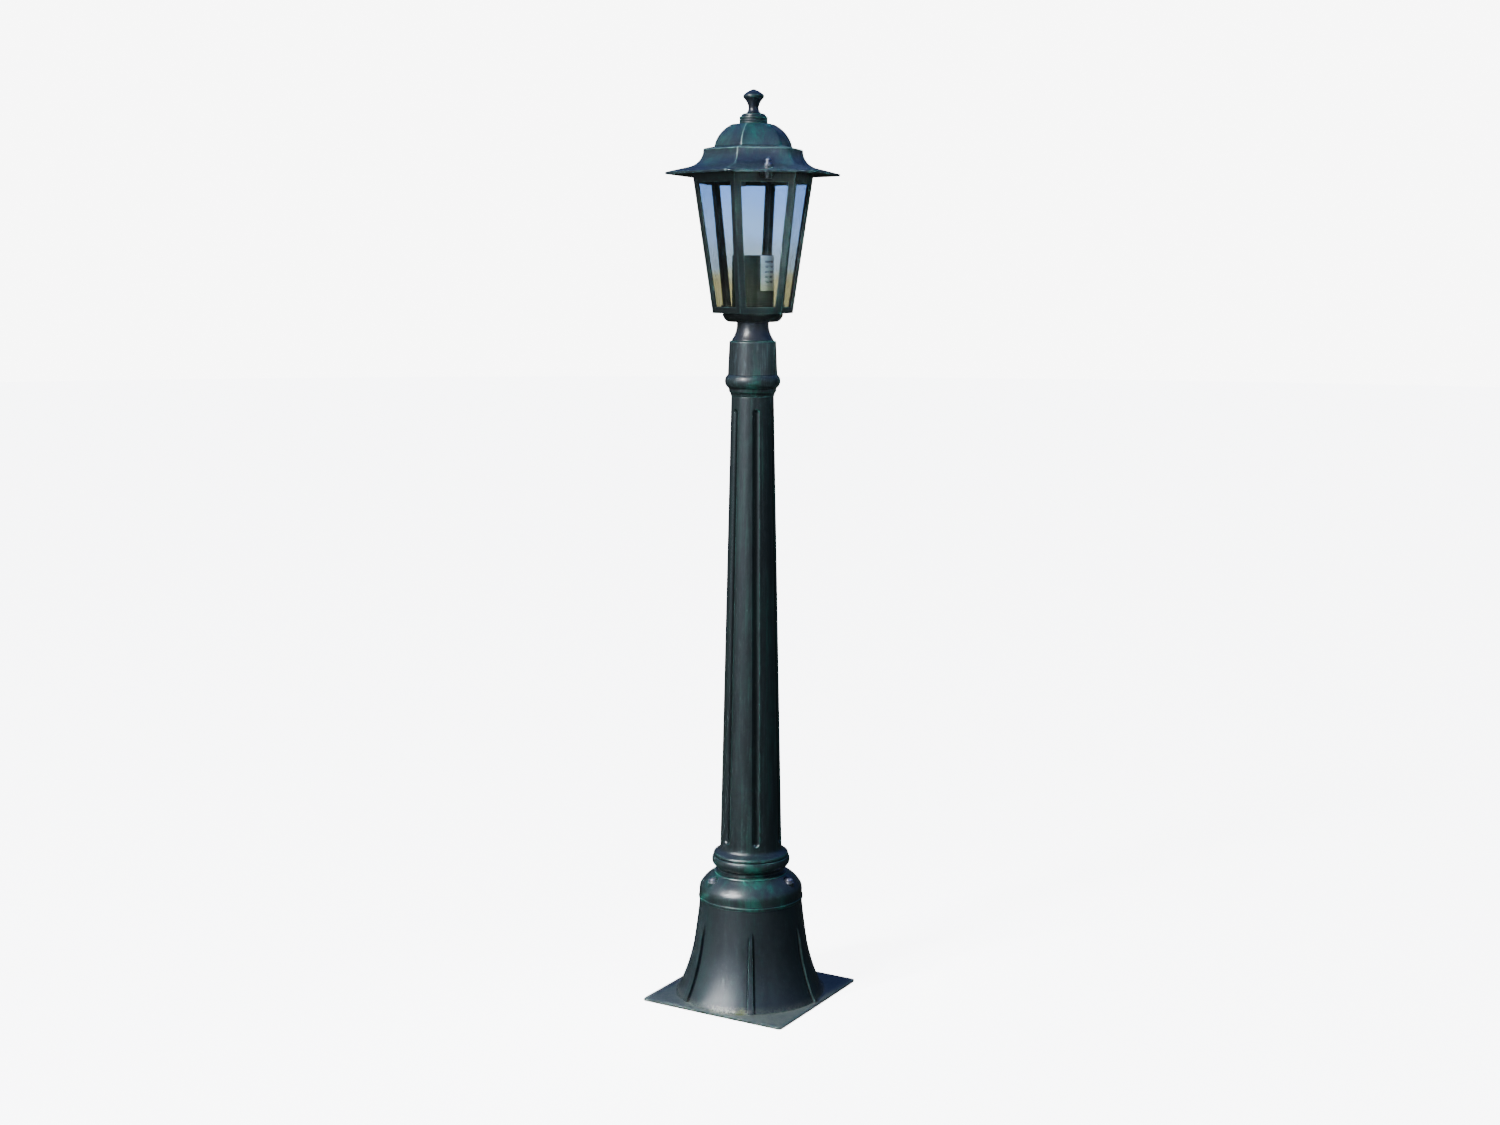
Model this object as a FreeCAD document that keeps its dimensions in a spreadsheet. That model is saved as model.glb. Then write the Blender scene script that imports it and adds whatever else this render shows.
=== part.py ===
import FreeCAD, Part
import math
import os
import Sketcher

# A garden lamp post: a six-sided glazed lantern on a fluted cast post with a bell base.
# Millimetres, +Z up, origin at the centre of the base plate's underside.

DIMENSIONS = {
    "plate_side": 185.0,
    "plate_thick": 3.5,
    "bell_wall": 4.0,
    "bell_foot_rad": 84.0,
    "bell_mid_rad": 66.8,
    "bell_mid_level": 62.0,
    "bell_top_rad": 60.7,
    "bell_top": 117.3,
    "deck_thick": 5.0,
    "deck_open_rad": 43.5,
    "cable_open_rad": 24.0,
    "anchor_ring_rad": 36.0,
    "anchor_hole_rad": 4.5,
    "rib_top": 94.0,
    "rib_top_width": 3.4,
    "rib_foot_width": 9.4,
    "rib_rise": 2.4,
    "flange_screw_ring": 51.0,
    "flange_seat": 141.5,
    "screw_rad": 2.5,
    "post_wall": 4.4,
    "shaft_foot": 180.0,
    "shaft_foot_rad": 36.2,
    "shaft_top": 708.0,
    "shaft_top_rad": 24.4,
    "spigot_rad": 21.0,
    "spigot_top": 722.0,
    "flute_foot": 191.0,
    "flute_top": 690.0,
    "flute_depth": 2.3,
    "flute_foot_rad": 6.2,
    "flute_top_rad": 5.0,
    "collar_top": 770.5,
    "collar_bore_rad": 20.0,
    "running_gap": 0.05,
    "body_gap": 0.3,
    "stem_foot": 726.0,
    "waist_rad": 18.2,
    "dish_foot": 791.8,
    "dish_rim_rad": 34.8,
    "dish_top": 800.6,
    "gasket_thick": 1.0,
    "nipple_rad": 5.0,
    "nipple_bore_rad": 3.8,
    "cage_foot": 801.6,
    "cage_top": 958.0,
    "cage_foot_flat": 40.45,
    "cage_top_flat": 60.65,
    "cage_wall": 2.2,
    "cage_floor": 2.6,
    "window_foot": 808.8,
    "window_top": 946.0,
    "bar_width": 7.3,
    "glass_thick": 2.0,
    "glass_lap": 2.4,
    "stud_ring": 75.0,
    "stud_rad": 2.5,
    "lug_top": 956.0,
    "lug_thick": 4.0,
    "holder_foot": 810.0,
    "holder_top": 858.0,
    "holder_rad": 19.0,
    "socket_rad": 13.3,
    "shell_foot": 834.0,
    "sleeve_rad": 23.7,
    "sleeve_wall": 1.4,
    "sleeve_top": 866.5,
    "label_wide": 25.0,
    "label_foot": 827.0,
    "label_top": 866.0,
    "eave": 955.3,
    "eave_flat": 88.2,
    "roof_wall": 2.0,
    "ledge_flat": 50.3,
    "dome_foot_flat": 39.4,
    "dome_foot": 986.5,
    "dome_top": 1011.5,
    "dome_top_flat": 21.2,
    "nut_seat": 961.2,
    "total_height": 1050.0,
}

# Directions around the post, in degrees from +X.
RIB_TURN = 0.0
SHOULDER_SCREW_TURN = 0.0
FLUTE_TURN = -51.0
LANTERN_TURN = -47.6
GRUB_SCREW_TURN = -63.0
LABEL_TURN = -9.0
SIDES = 6

UP = FreeCAD.Vector(0, 0, 1)
TAN_30 = math.tan(math.radians(30))

doc = FreeCAD.newDocument("LampPost")
sheet = doc.addObject("Spreadsheet::Sheet", "Dims")
for row, (alias, number) in enumerate(DIMENSIONS.items(), start=1):
    sheet.set(f"A{row}", str(number))
    sheet.setAlias(f"A{row}", alias)
doc.recompute()


class Size:
    """A number with the sheet expression that gives it, so sums of sizes stay bound to the sheet."""

    def __init__(self, number, text):
        self.number = number
        self.text = text

    def __add__(self, other):
        other = size(other)
        return Size(self.number + other.number, f"({self.text} + {other.text})")

    def __sub__(self, other):
        other = size(other)
        return Size(self.number - other.number, f"({self.text} - {other.text})")

    def __mul__(self, factor):
        factor = size(factor)
        return Size(self.number * factor.number, f"({self.text} * {factor.text})")

    def __truediv__(self, divisor):
        divisor = size(divisor)
        return Size(self.number / divisor.number, f"({self.text} / {divisor.text})")

    def __neg__(self):
        return size(0) - self


def size(value):
    """A Size from a Size, a sheet alias or a plain number."""
    if isinstance(value, Size):
        return value
    if isinstance(value, str):
        return Size(DIMENSIONS[value], f"Dims.{value}")
    return Size(float(value), f"({float(value)!r})")


class Sheet:
    """The sheet's cells as Sizes: D.plate_side is the cell with the alias plate_side."""

    def __getattr__(self, alias):
        return size(alias)


D = Sheet()
parts = []


def keep(item, label, turn=0.0, place=None):
    """Name a finished sub-part and set its Placement, turned about the post's axis."""
    item.Label = label
    base = FreeCAD.Placement(FreeCAD.Vector(), FreeCAD.Rotation(UP, turn))
    item.Placement = base.multiply(place or FreeCAD.Placement())
    parts.append(item)
    return item


def plane(body, role):
    return next(item for item in body.Origin.OriginFeatures if item.Role == role)


def arc_between(start, end, radius):
    """The minor arc from start to end: a positive radius turns left, a negative one right."""
    chord = end - start
    middle = (start + end) * 0.5
    reach = math.sqrt(radius * radius - chord.Length**2 / 4)
    left = FreeCAD.Vector(-chord.y, chord.x, 0).normalize()
    centre = middle + left * math.copysign(reach, radius)
    first, last = (start, end) if radius > 0 else (end, start)
    angle_first = math.atan2(first.y - centre.y, first.x - centre.x)
    angle_last = math.atan2(last.y - centre.y, last.x - centre.x)
    if angle_last < angle_first:
        angle_last += 2 * math.pi
    circle = Part.Circle(centre, UP, abs(radius))
    return Part.ArcOfCircle(circle, angle_first, angle_last)


def cap_radius(rim, rise):
    """The radius of a spherical cap, so that a dome closes square on its axis."""
    return (size(rim) * rim + size(rise) * rise) / (size(rise) * 2)


def draw(sketch, corners):
    """A closed outline. A corner is (x, y), or (x, y, radius) when an arc leads to it."""
    spots = [FreeCAD.Vector(size(c[0]).number, size(c[1]).number, 0) for c in corners]
    edges = []
    for number, corner in enumerate(corners):
        start, end = spots[number - 1], spots[number]
        if len(corner) == 3:
            edges.append(sketch.addGeometry(arc_between(start, end, size(corner[2]).number), False))
            sketch.addConstraint(Sketcher.Constraint("Radius", edges[-1], abs(size(corner[2]).number)))
        else:
            edges.append(sketch.addGeometry(Part.LineSegment(start, end), False))
    for number, corner in enumerate(corners):
        this, following = edges[number], edges[(number + 1) % len(edges)]
        this_end = nearest_end(sketch, this, spots[number])
        next_end = nearest_end(sketch, following, spots[number])
        sketch.addConstraint(Sketcher.Constraint("Coincident", this, this_end, following, next_end))
        for kind, value in (("DistanceX", size(corner[0])), ("DistanceY", size(corner[1]))):
            at = sketch.addConstraint(Sketcher.Constraint(kind, this, this_end, value.number))
            sketch.setExpression(f"Constraints[{at}]", value.text)


def nearest_end(sketch, edge, spot):
    gaps = {end: (sketch.getPoint(edge, end) - spot).Length for end in (1, 2)}
    return min(gaps, key=gaps.get)


def draw_circle(sketch, centre_x, centre_y, radius):
    spot = FreeCAD.Vector(size(centre_x).number, size(centre_y).number, 0)
    edge = sketch.addGeometry(Part.Circle(spot, UP, size(radius).number), False)
    for kind, value in (("DistanceX", size(centre_x)), ("DistanceY", size(centre_y))):
        at = sketch.addConstraint(Sketcher.Constraint(kind, edge, 3, value.number))
        sketch.setExpression(f"Constraints[{at}]", value.text)
    at = sketch.addConstraint(Sketcher.Constraint("Radius", edge, size(radius).number))
    sketch.setExpression(f"Constraints[{at}]", size(radius).text)


def add_sketch(body, name, role, level=None):
    """A sketch on one of the body's own origin planes, raised by level along the plane's normal."""
    sketch = body.newObject("Sketcher::SketchObject", name)
    sketch.AttachmentSupport = (plane(body, role), [""])
    sketch.MapMode = "FlatFace"
    if level is not None:
        sketch.setExpression("AttachmentOffset.Base.z", size(level).text)
    return sketch


def new_body(label):
    return doc.addObject("PartDesign::Body", label)


def turn_about(body, name, sketch, axis="V_Axis", cut=False):
    kind = "PartDesign::Groove" if cut else "PartDesign::Revolution"
    feature = body.newObject(kind, name)
    feature.Profile = sketch
    feature.ReferenceAxis = (sketch, [axis])
    feature.Angle = 360
    return feature


def pad(body, name, sketch, length, both_ways=False):
    feature = body.newObject("PartDesign::Pad", name)
    feature.Profile = sketch
    feature.Midplane = both_ways
    feature.setExpression("Length", size(length).text)
    return feature


def pocket(body, name, sketch, length=None, reverse=False):
    """Cut the sketch through everything both ways, or one way by a length; it must remove metal."""
    doc.recompute()
    before = body.Shape.Volume
    feature = body.newObject("PartDesign::Pocket", name)
    feature.Profile = sketch
    feature.Reversed = reverse
    if length is None:
        feature.Type = "ThroughAll"
        feature.Midplane = True
    else:
        feature.setExpression("Length", size(length).text)
    doc.recompute()
    if body.Shape.Volume >= before:
        raise RuntimeError(f"{body.Name}.{name} removes nothing")
    return feature


def ring_of(body, name, features, count):
    pattern = body.newObject("PartDesign::PolarPattern", name)
    pattern.Originals = features
    pattern.Axis = (plane(body, "Z_Axis"), [""])
    pattern.Angle = 360
    pattern.Occurrences = count
    body.Tip = pattern
    return pattern


def turned(label, section, turn=0.0):
    """A piece turned about the post's axis from its half section, corners of (radius, level)."""
    body = new_body(label)
    sketch = add_sketch(body, f"{label}_section", "XZ_Plane")
    draw(sketch, section)
    turn_about(body, f"{label}_turn", sketch)
    return keep(body, label, turn)


def turned_off_axis(body, name, centre, section):
    """A solid turned about a vertical line at x = centre, from a section of (radius, level)."""
    sketch = add_sketch(body, f"{name}_section", "XZ_Plane")
    draw(sketch, [(size(centre) + corner[0], *corner[1:]) for corner in section])
    number = size(centre).number
    line = Part.LineSegment(FreeCAD.Vector(number, 0, 0), FreeCAD.Vector(number, 1, 0))
    axis = sketch.addGeometry(line, True)
    for end in (1, 2):
        at = sketch.addConstraint(Sketcher.Constraint("DistanceX", axis, end, number))
        sketch.setExpression(f"Constraints[{at}]", size(centre).text)
    doc.recompute()
    return turn_about(body, name, sketch, "Axis0")


def fastener_ring(label, centre, section, count, turn):
    """Identical turned fasteners, standing upright in a ring about the post's axis."""
    body = new_body(label)
    feature = turned_off_axis(body, f"{label}_one", centre, section)
    doc.recompute()
    ring_of(body, f"{label}_ring", [feature], count)
    return keep(body, label, turn)


def hexagon(body, name, flat, level):
    """A hexagon sketch with a side's middle on +X, at a distance flat from the axis."""
    sketch = add_sketch(body, name, "XY_Plane", level)
    corner = size(flat) / math.cos(math.radians(30))
    turns = [math.radians(30 + 60 * side) for side in range(SIDES)]
    draw(sketch, [(corner * math.cos(a), corner * math.sin(a)) for a in turns])
    return sketch


def loft(body, name, low, high, cut=False):
    kind = "PartDesign::SubtractiveLoft" if cut else "PartDesign::AdditiveLoft"
    feature = body.newObject(kind, name)
    feature.Profile = low
    feature.Sections = [high]
    feature.Ruled = True
    return feature


def free_sketch(name, corners):
    """A sketch outside any body, drawn in the XZ plane."""
    sketch = doc.addObject("Sketcher::SketchObject", name)
    sketch.Placement = FreeCAD.Placement(FreeCAD.Vector(), FreeCAD.Rotation(FreeCAD.Vector(1, 0, 0), 90))
    draw(sketch, corners)
    return sketch


def extrusion(name, sketch, length, turn=0.0):
    """The XZ sketch extruded both ways along Y, then turned about Z."""
    solid = doc.addObject("Part::Extrusion", name)
    solid.Base = sketch
    solid.DirMode = "Custom"
    solid.Dir = FreeCAD.Vector(0, 1, 0)
    solid.Symmetric = True
    solid.Solid = True
    solid.setExpression("LengthFwd", size(length).text)
    solid.Placement = FreeCAD.Placement(FreeCAD.Vector(), FreeCAD.Rotation(UP, turn))
    return solid


def revolution(name, sketch):
    solid = doc.addObject("Part::Revolution", name)
    solid.Source = sketch
    solid.Axis = UP
    solid.Base = FreeCAD.Vector()
    solid.Angle = 360
    solid.Solid = True
    return solid


def fuse(name, solids):
    result = doc.addObject("Part::MultiFuse", name)
    result.Shapes = solids
    return result


def common(name, solids):
    result = doc.addObject("Part::MultiCommon", name)
    result.Shapes = solids
    return result


def cut(name, base, tool):
    result = doc.addObject("Part::Cut", name)
    result.Base = base
    result.Tool = tool
    return result


def cylinder(name, radius, low, high, centre=0, turn=0.0):
    """An upright cylinder at a distance centre from the axis, between two levels."""
    solid = doc.addObject("Part::Cylinder", name)
    solid.setExpression("Radius", size(radius).text)
    solid.setExpression("Height", (size(high) - low).text)
    angle = math.radians(turn)
    solid.setExpression("Placement.Base.x", (size(centre) * math.cos(angle)).text)
    solid.setExpression("Placement.Base.y", (size(centre) * math.sin(angle)).text)
    solid.setExpression("Placement.Base.z", size(low).text)
    return solid


def flange_cylinders(name, radius, low, high):
    """Three upright cylinders on the foot flange's screws."""
    turns = [SHOULDER_SCREW_TURN + 120 * number for number in range(3)]
    return [cylinder(f"{name}_{t:.0f}", radius, low, high, D.flange_screw_ring, t) for t in turns]


def mirrored_outline(half):
    """A closed outline from its right half, listed from the top of the axis to its foot."""
    flip = []
    for number in range(len(half) - 1, -1, -1):
        corner = half[number]
        led_by = half[number + 1] if number + 1 < len(half) else corner
        bend = led_by[2:] if number + 1 < len(half) else ()
        if size(corner[0]).number > 0:
            flip.append((-size(corner[0]), corner[1], *bend))
    first_bend = half[1][2:] if len(half[1]) == 3 else ()
    closing = [(*half[0][:2], *first_bend)]
    return closing + half[1:] + flip


def hexagonal(name, half):
    """The solid whose every level is a regular hexagon, flat distance and level given by half."""
    sketch = free_sketch(f"{name}_outline", mirrored_outline(half))
    reach = 240
    slabs = [extrusion(f"{name}_slab_{turn}", sketch, reach, turn) for turn in (0, 60, 120)]
    return common(name, slabs)


# ---------------------------------------------------------------- post body


def make_base_bell():
    """The cast bell on its square plate, with a screwed deck on top and six tapered ribs."""
    foot, middle, top = D.bell_foot_rad, D.bell_mid_rad, D.bell_top_rad
    wall, deck_foot = D.bell_wall, D.bell_top - D.deck_thick
    bell_sketch = free_sketch(
        "bell_section",
        [
            (foot - wall, 0),
            (foot, 0),
            (foot, D.plate_thick),
            (middle, D.bell_mid_level, -270),
            (top, 112, -900),
            (top - 0.5, D.bell_top),
            (D.deck_open_rad, D.bell_top),
            (D.deck_open_rad, deck_foot),
            (top - wall, deck_foot),
            (middle - wall, D.bell_mid_level, 900),
            (foot - wall, D.plate_thick, 270),
        ],
    )
    plate = doc.addObject("Part::Box", "bell_plate")
    for side in ("Length", "Width"):
        plate.setExpression(side, D.plate_side.text)
    plate.setExpression("Height", D.plate_thick.text)
    for axis in "xy":
        plate.setExpression(f"Placement.Base.{axis}", (-(D.plate_side / 2)).text)

    rib_sketch = free_sketch(
        "rib_band",
        [
            (foot - 1, D.plate_thick - 1),
            (foot + D.rib_rise, D.plate_thick - 1),
            (foot + D.rib_rise, D.plate_thick),
            (middle + D.rib_rise, D.bell_mid_level, -262),
            (top + 2.6, D.rib_top),
            (middle - 1, D.bell_mid_level),
            (foot - 1, D.plate_thick, 270),
        ],
    )
    wedge_body = []
    for turn in (0, 60, 120):
        wedge_sketch = free_sketch(
            f"rib_wedge_{turn}_outline",
            [
                (-(D.rib_foot_width / 2), 0),
                (D.rib_foot_width / 2, 0),
                (D.rib_top_width / 2, D.rib_top),
                (-(D.rib_top_width / 2), D.rib_top),
            ],
        )
        wedge_body.append(extrusion(f"rib_wedge_{turn}", wedge_sketch, 240, turn + 90 + RIB_TURN))
    ribs = common("bell_ribs", [revolution("rib_ring", rib_sketch), fuse("rib_wedges", wedge_body)])

    bosses = flange_cylinders("bell_boss", 6.5, 100, D.bell_top)
    solid = fuse("bell_solid", [revolution("bell_shell", bell_sketch), plate, ribs, *bosses])
    holes = flange_cylinders("bell_tap", D.screw_rad, 104, D.bell_top + 1)
    for number in range(4):
        name, turn = f"anchor_hole_{number}", 45 + 90 * number
        holes.append(cylinder(name, D.anchor_hole_rad, -1, D.plate_thick + 1, D.anchor_ring_rad, turn))
    holes.append(cylinder("cable_opening", D.cable_open_rad, -1, D.plate_thick + 1))
    keep(cut("base_bell", solid, fuse("bell_holes", holes)), "base_bell")


def shaft_taper():
    return (D.shaft_foot_rad - D.shaft_top_rad) / (D.shaft_top - D.shaft_foot)


def make_post_shaft():
    """The hollow fluted post with its bead and its domed foot flange, one casting."""
    seat, wall = D.bell_top, D.post_wall
    shaft_sketch = free_sketch(
        "shaft_section",
        [
            (44, seat),
            (61.0, seat),
            (61.5, 118.2, 0.9),
            (61.5, 120.6),
            (60.7, 121.4),
            (60.7, 126.5),
            (59.9, 133, 16),
            (43.8, 148.5, 38),
            (42.8, 149.6, 1.4),
            (40.6, 149.8),
            (37.8, 151.4, -3.5),
            (37.6, 154.4),
            (39.6, 155.6, -2.4),
            (45.8, 162.4, 8.5),
            (44.8, 168.4, 12),
            (43.6, 169.2),
            (44, 170.4),
            (42.2, 173.6, 3),
            (37.6, 177),
            (D.shaft_foot_rad, D.shaft_foot, -6),
            (D.shaft_top_rad, D.shaft_top),
            (D.spigot_rad, D.shaft_top),
            (D.spigot_rad, D.spigot_top),
            (D.spigot_rad - 3, D.spigot_top),
            (D.spigot_rad - 3, D.shaft_top - 8),
            (D.shaft_top_rad - wall, D.shaft_top - 12),
            (D.shaft_foot_rad - wall, D.shaft_foot),
            (D.shaft_foot_rad - wall, 146),
            (44, 134),
        ],
    )
    flutes = []
    tilt = math.degrees(math.atan(shaft_taper().number))
    length = D.flute_top - D.flute_foot
    axis_foot = D.shaft_foot_rad - shaft_taper() * (D.flute_foot - D.shaft_foot)
    axis_foot = axis_foot - D.flute_depth + D.flute_foot_rad
    for number in range(SIDES):
        rod = doc.addObject("Part::Cone", f"flute_rod_{number}")
        rod.setExpression("Radius1", D.flute_foot_rad.text)
        rod.setExpression("Radius2", D.flute_top_rad.text)
        rod.setExpression("Height", length.text)
        foot_ball = doc.addObject("Part::Sphere", f"flute_foot_ball_{number}")
        foot_ball.setExpression("Radius", D.flute_foot_rad.text)
        top_ball = doc.addObject("Part::Sphere", f"flute_top_ball_{number}")
        top_ball.setExpression("Radius", D.flute_top_rad.text)
        top_ball.setExpression("Placement.Base.z", length.text)
        flute = fuse(f"flute_{number}", [rod, foot_ball, top_ball])
        turn = FreeCAD.Rotation(UP, FLUTE_TURN + 60 * number)
        # The flute's floor follows the taper; the wider foot radius is made up by the extra lean.
        extra = math.degrees(math.atan((D.flute_foot_rad - D.flute_top_rad).number / length.number))
        lean = FreeCAD.Rotation(FreeCAD.Vector(0, 1, 0), -(tilt + extra))
        flute.Placement = FreeCAD.Placement(
            turn.multVec(FreeCAD.Vector(axis_foot.number, 0, D.flute_foot.number)), turn.multiply(lean)
        )
        flutes.append(flute)
    holes = flange_cylinders("flange_hole", D.screw_rad + 0.4, seat - 1, 160)
    holes += flange_cylinders("flange_spot", 6.3, D.flange_seat, 152)
    solid = revolution("shaft_solid", shaft_sketch)
    pads = flange_cylinders("flange_pad", 6.2, seat, D.flange_seat)
    filled = fuse("shaft_filled", [solid, *pads])
    keep(cut("post_shaft", filled, fuse("shaft_holes", flutes + holes)), "post_shaft")


def make_base_fasteners():
    seat, radius = D.flange_seat, D.screw_rad
    washer = 1.0
    fastener_ring(
        "base_washers",
        D.flange_screw_ring,
        [(radius + 0.3, seat), (5.9, seat), (5.9, seat + washer), (radius + 0.3, seat + washer)],
        3,
        SHOULDER_SCREW_TURN,
    )
    head = seat + washer
    fastener_ring(
        "base_screws",
        D.flange_screw_ring,
        [
            (0, 106),
            (radius, 106),
            (radius, head),
            (4.9, head),
            (4.9, head + 2.8),
            (4.3, head + 3.5),
            (2.7, head + 3.5),
            (2.7, head + 1),
            (0, head + 1),
        ],
        3,
        SHOULDER_SCREW_TURN,
    )


def make_terminals():
    """A steel bracket on the bell's plate carries the three-way terminal block and earth screw."""
    bracket = new_body("terminal_bracket")
    sketch = add_sketch(bracket, "bracket_outline", "YZ_Plane", -40)
    low, thick = D.plate_thick, 1.5
    draw(sketch, [(-16, low), (16, low), (16, low + 64), (-16, low + 64)])
    pad(bracket, "bracket_upright", sketch, thick)
    foot = add_sketch(bracket, "bracket_foot_outline", "XY_Plane", low)
    draw(foot, [(-54, -10), (-40, -10), (-40, 10), (-54, 10)])
    pad(bracket, "bracket_foot", foot, thick)
    keep(bracket, "terminal_bracket")

    block = new_body("terminal_block")
    sketch = add_sketch(block, "block_outline", "YZ_Plane", -38.5)
    foot, top = low + 34, low + 60
    draw(sketch, [(-15, foot), (15, foot), (15, top), (-15, top)])
    pad(block, "block_pad", sketch, 16)
    doc.recompute()
    wells = add_sketch(block, "block_wells", "YZ_Plane", -22.5)
    for level in (foot + 7, top - 7):
        for across in (-9, 0, 9):
            draw_circle(wells, across, level, 2.3)
    pocket(block, "block_screw_wells", wells, 8)
    keep(block, "terminal_block")

    screws = new_body("terminal_screws")
    sketch = add_sketch(screws, "terminal_screw_outline", "YZ_Plane", -30.5)
    for level in (foot + 7, top - 7):
        for across in (-9, 0, 9):
            draw_circle(sketch, across, level, 2.0)
    pad(screws, "terminal_screw_pad", sketch, 5)
    keep(screws, "terminal_screws")

    earth = new_body("earth_screw")
    sketch = add_sketch(earth, "earth_screw_section", "YZ_Plane", -38.5)
    draw_circle(sketch, 0, low + 16, 4.0)
    pad(earth, "earth_screw_head", sketch, 3)
    keep(earth, "earth_screw")


def make_collar():
    """The collar casting: a bead on the post's top and a tube that the lantern's stem turns in."""
    bore = D.collar_bore_rad
    turned(
        "post_collar",
        [
            (D.spigot_rad + 0.05, D.shaft_top),
            (24.8, D.shaft_top),
            (25.2, 709.6),
            (27.0, 713, -5),
            (27.4, 716.8),
            (28.4, 732.4, 9.8),
            (28.3, 734),
            (26.7, D.collar_top - 1.6),
            (25.9, D.collar_top, 2.2),
            (bore, D.collar_top),
            (bore, D.spigot_top + 3),
            (15, D.spigot_top + 3),
            (15, D.spigot_top),
            (D.spigot_rad + 0.05, D.spigot_top),
        ],
    )
    # Three tapped holes let the grub screws reach the stem.
    collar = parts.pop()
    doc.recompute()
    level = 739
    screws = new_body("collar_grub_screws")
    screw_sketch = add_sketch(screws, "grub_outline", "YZ_Plane", bore + D.body_gap)
    draw_circle(screw_sketch, 0, level, D.screw_rad)
    grub = pad(screws, "grub_pad", screw_sketch, 7.6)
    socket_sketch = add_sketch(screws, "grub_socket_outline", "YZ_Plane", bore + D.body_gap + 7.6)
    corner = 1.45
    turns = [math.radians(60 * side) for side in range(SIDES)]
    draw(socket_sketch, [(corner * math.cos(a), size(level) + corner * math.sin(a)) for a in turns])
    socket = pocket(screws, "grub_socket", socket_sketch, 2.5)
    ring_of(screws, "grub_ring", [grub, socket], 3)
    keep(screws, "collar_grub_screws", GRUB_SCREW_TURN)

    hole_sketch = add_sketch(collar, "grub_hole_outline", "YZ_Plane", 10)
    draw_circle(hole_sketch, 0, level, D.screw_rad)
    hole = pocket(collar, "grub_hole", hole_sketch, 30, reverse=True)
    ring_of(collar, "grub_holes", [hole], 3)
    keep(collar, "post_collar", GRUB_SCREW_TURN)


# ---------------------------------------------------------------- lantern body


def make_stem():
    """The stem casting: a hollow spigot in the collar, flaring up to a waist under the dish."""
    rest = D.collar_top + D.body_gap
    spigot = D.collar_bore_rad - D.running_gap
    turned(
        "lantern_stem",
        [
            (spigot - 4, D.stem_foot),
            (spigot, D.stem_foot),
            (spigot, rest),
            (24, rest),
            (23.9, rest + 1),
            (D.waist_rad, 788, -30),
            (D.waist_rad, D.dish_foot),
            (D.nipple_rad, D.dish_foot),
            (D.nipple_rad, 776),
            (spigot - 4, 776),
        ],
    )


def make_dish():
    """The shallow cast dish under the lantern."""
    turned(
        "lantern_dish",
        [
            (D.nipple_rad, D.dish_foot),
            (27.2, D.dish_foot),
            (33.6, 797.6, 9),
            (D.dish_rim_rad, D.dish_top, 10),
            (24, D.dish_top),
            (22, 795.4),
            (D.nipple_rad, 795.4),
        ],
    )
    turned(
        "floor_gasket",
        [
            (25, D.dish_top),
            (34, D.dish_top),
            (34, D.dish_top + D.gasket_thick),
            (25, D.dish_top + D.gasket_thick),
        ],
    )


def cage_flat(level):
    """The cage's outer flat distance at a level."""
    slope = (D.cage_top_flat - D.cage_foot_flat) / (D.cage_top - D.cage_foot)
    return D.cage_foot_flat + slope * (size(level) - D.cage_foot)


def make_cage():
    """The tapered six-sided cage: floor, window bars, rails and two lugs for the roof's studs."""
    body = new_body("lantern_cage")
    outer = [
        hexagon(body, "cage_outer_foot", D.cage_foot_flat, D.cage_foot),
        hexagon(body, "cage_outer_top", D.cage_top_flat, D.cage_top),
    ]
    loft(body, "cage_outer", *outer)
    floor = D.cage_foot + D.cage_floor
    inner = [
        hexagon(body, "cage_inner_foot", cage_flat(floor) - D.cage_wall, floor),
        hexagon(body, "cage_inner_top", D.cage_top_flat - D.cage_wall, D.cage_top),
    ]
    loft(body, "cage_inner", *inner, cut=True)
    doc.recompute()

    window = add_sketch(body, "window_outline", "YZ_Plane", 20)
    foot_half = cage_flat(D.window_foot) * TAN_30 - D.bar_width
    top_half = cage_flat(D.window_top) * TAN_30 - D.bar_width
    draw(
        window,
        [
            (-foot_half, D.window_foot),
            (foot_half, D.window_foot),
            (top_half, D.window_top),
            (-top_half, D.window_top),
        ],
    )
    opening = pocket(body, "window", window, 60, reverse=True)
    ring_of(body, "windows", [opening], SIDES)
    doc.recompute()

    nipple_hole = add_sketch(body, "nipple_hole_outline", "XY_Plane", D.cage_foot)
    draw_circle(nipple_hole, 0, 0, D.nipple_rad)
    pocket(body, "nipple_hole", nipple_hole)

    lug = add_sketch(body, "lug_outline", "XY_Plane", D.lug_top - D.lug_thick)
    half_width = 5.5
    root, end = 59.4, D.stud_ring
    draw(
        lug,
        [
            (root, -half_width),
            (end, -half_width),
            (end + half_width, 0, half_width),
            (end, half_width, half_width),
            (root, half_width),
        ],
    )
    arm = pad(body, "lug", lug, D.lug_thick)
    doc.recompute()
    stud_hole = add_sketch(body, "stud_hole_outline", "XY_Plane", D.lug_top)
    draw_circle(stud_hole, D.stud_ring, 0, D.stud_rad)
    hole = pocket(body, "stud_hole", stud_hole, D.lug_thick + 1)
    ring_of(body, "lugs", [arm, hole], 2)
    keep(body, "lantern_cage", LANTERN_TURN)


def cage_tilt():
    """The lean of the cage's sides from upright, in degrees."""
    rise = D.cage_top.number - D.cage_foot.number
    return math.degrees(math.atan((D.cage_top_flat.number - D.cage_foot_flat.number) / rise))


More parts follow.
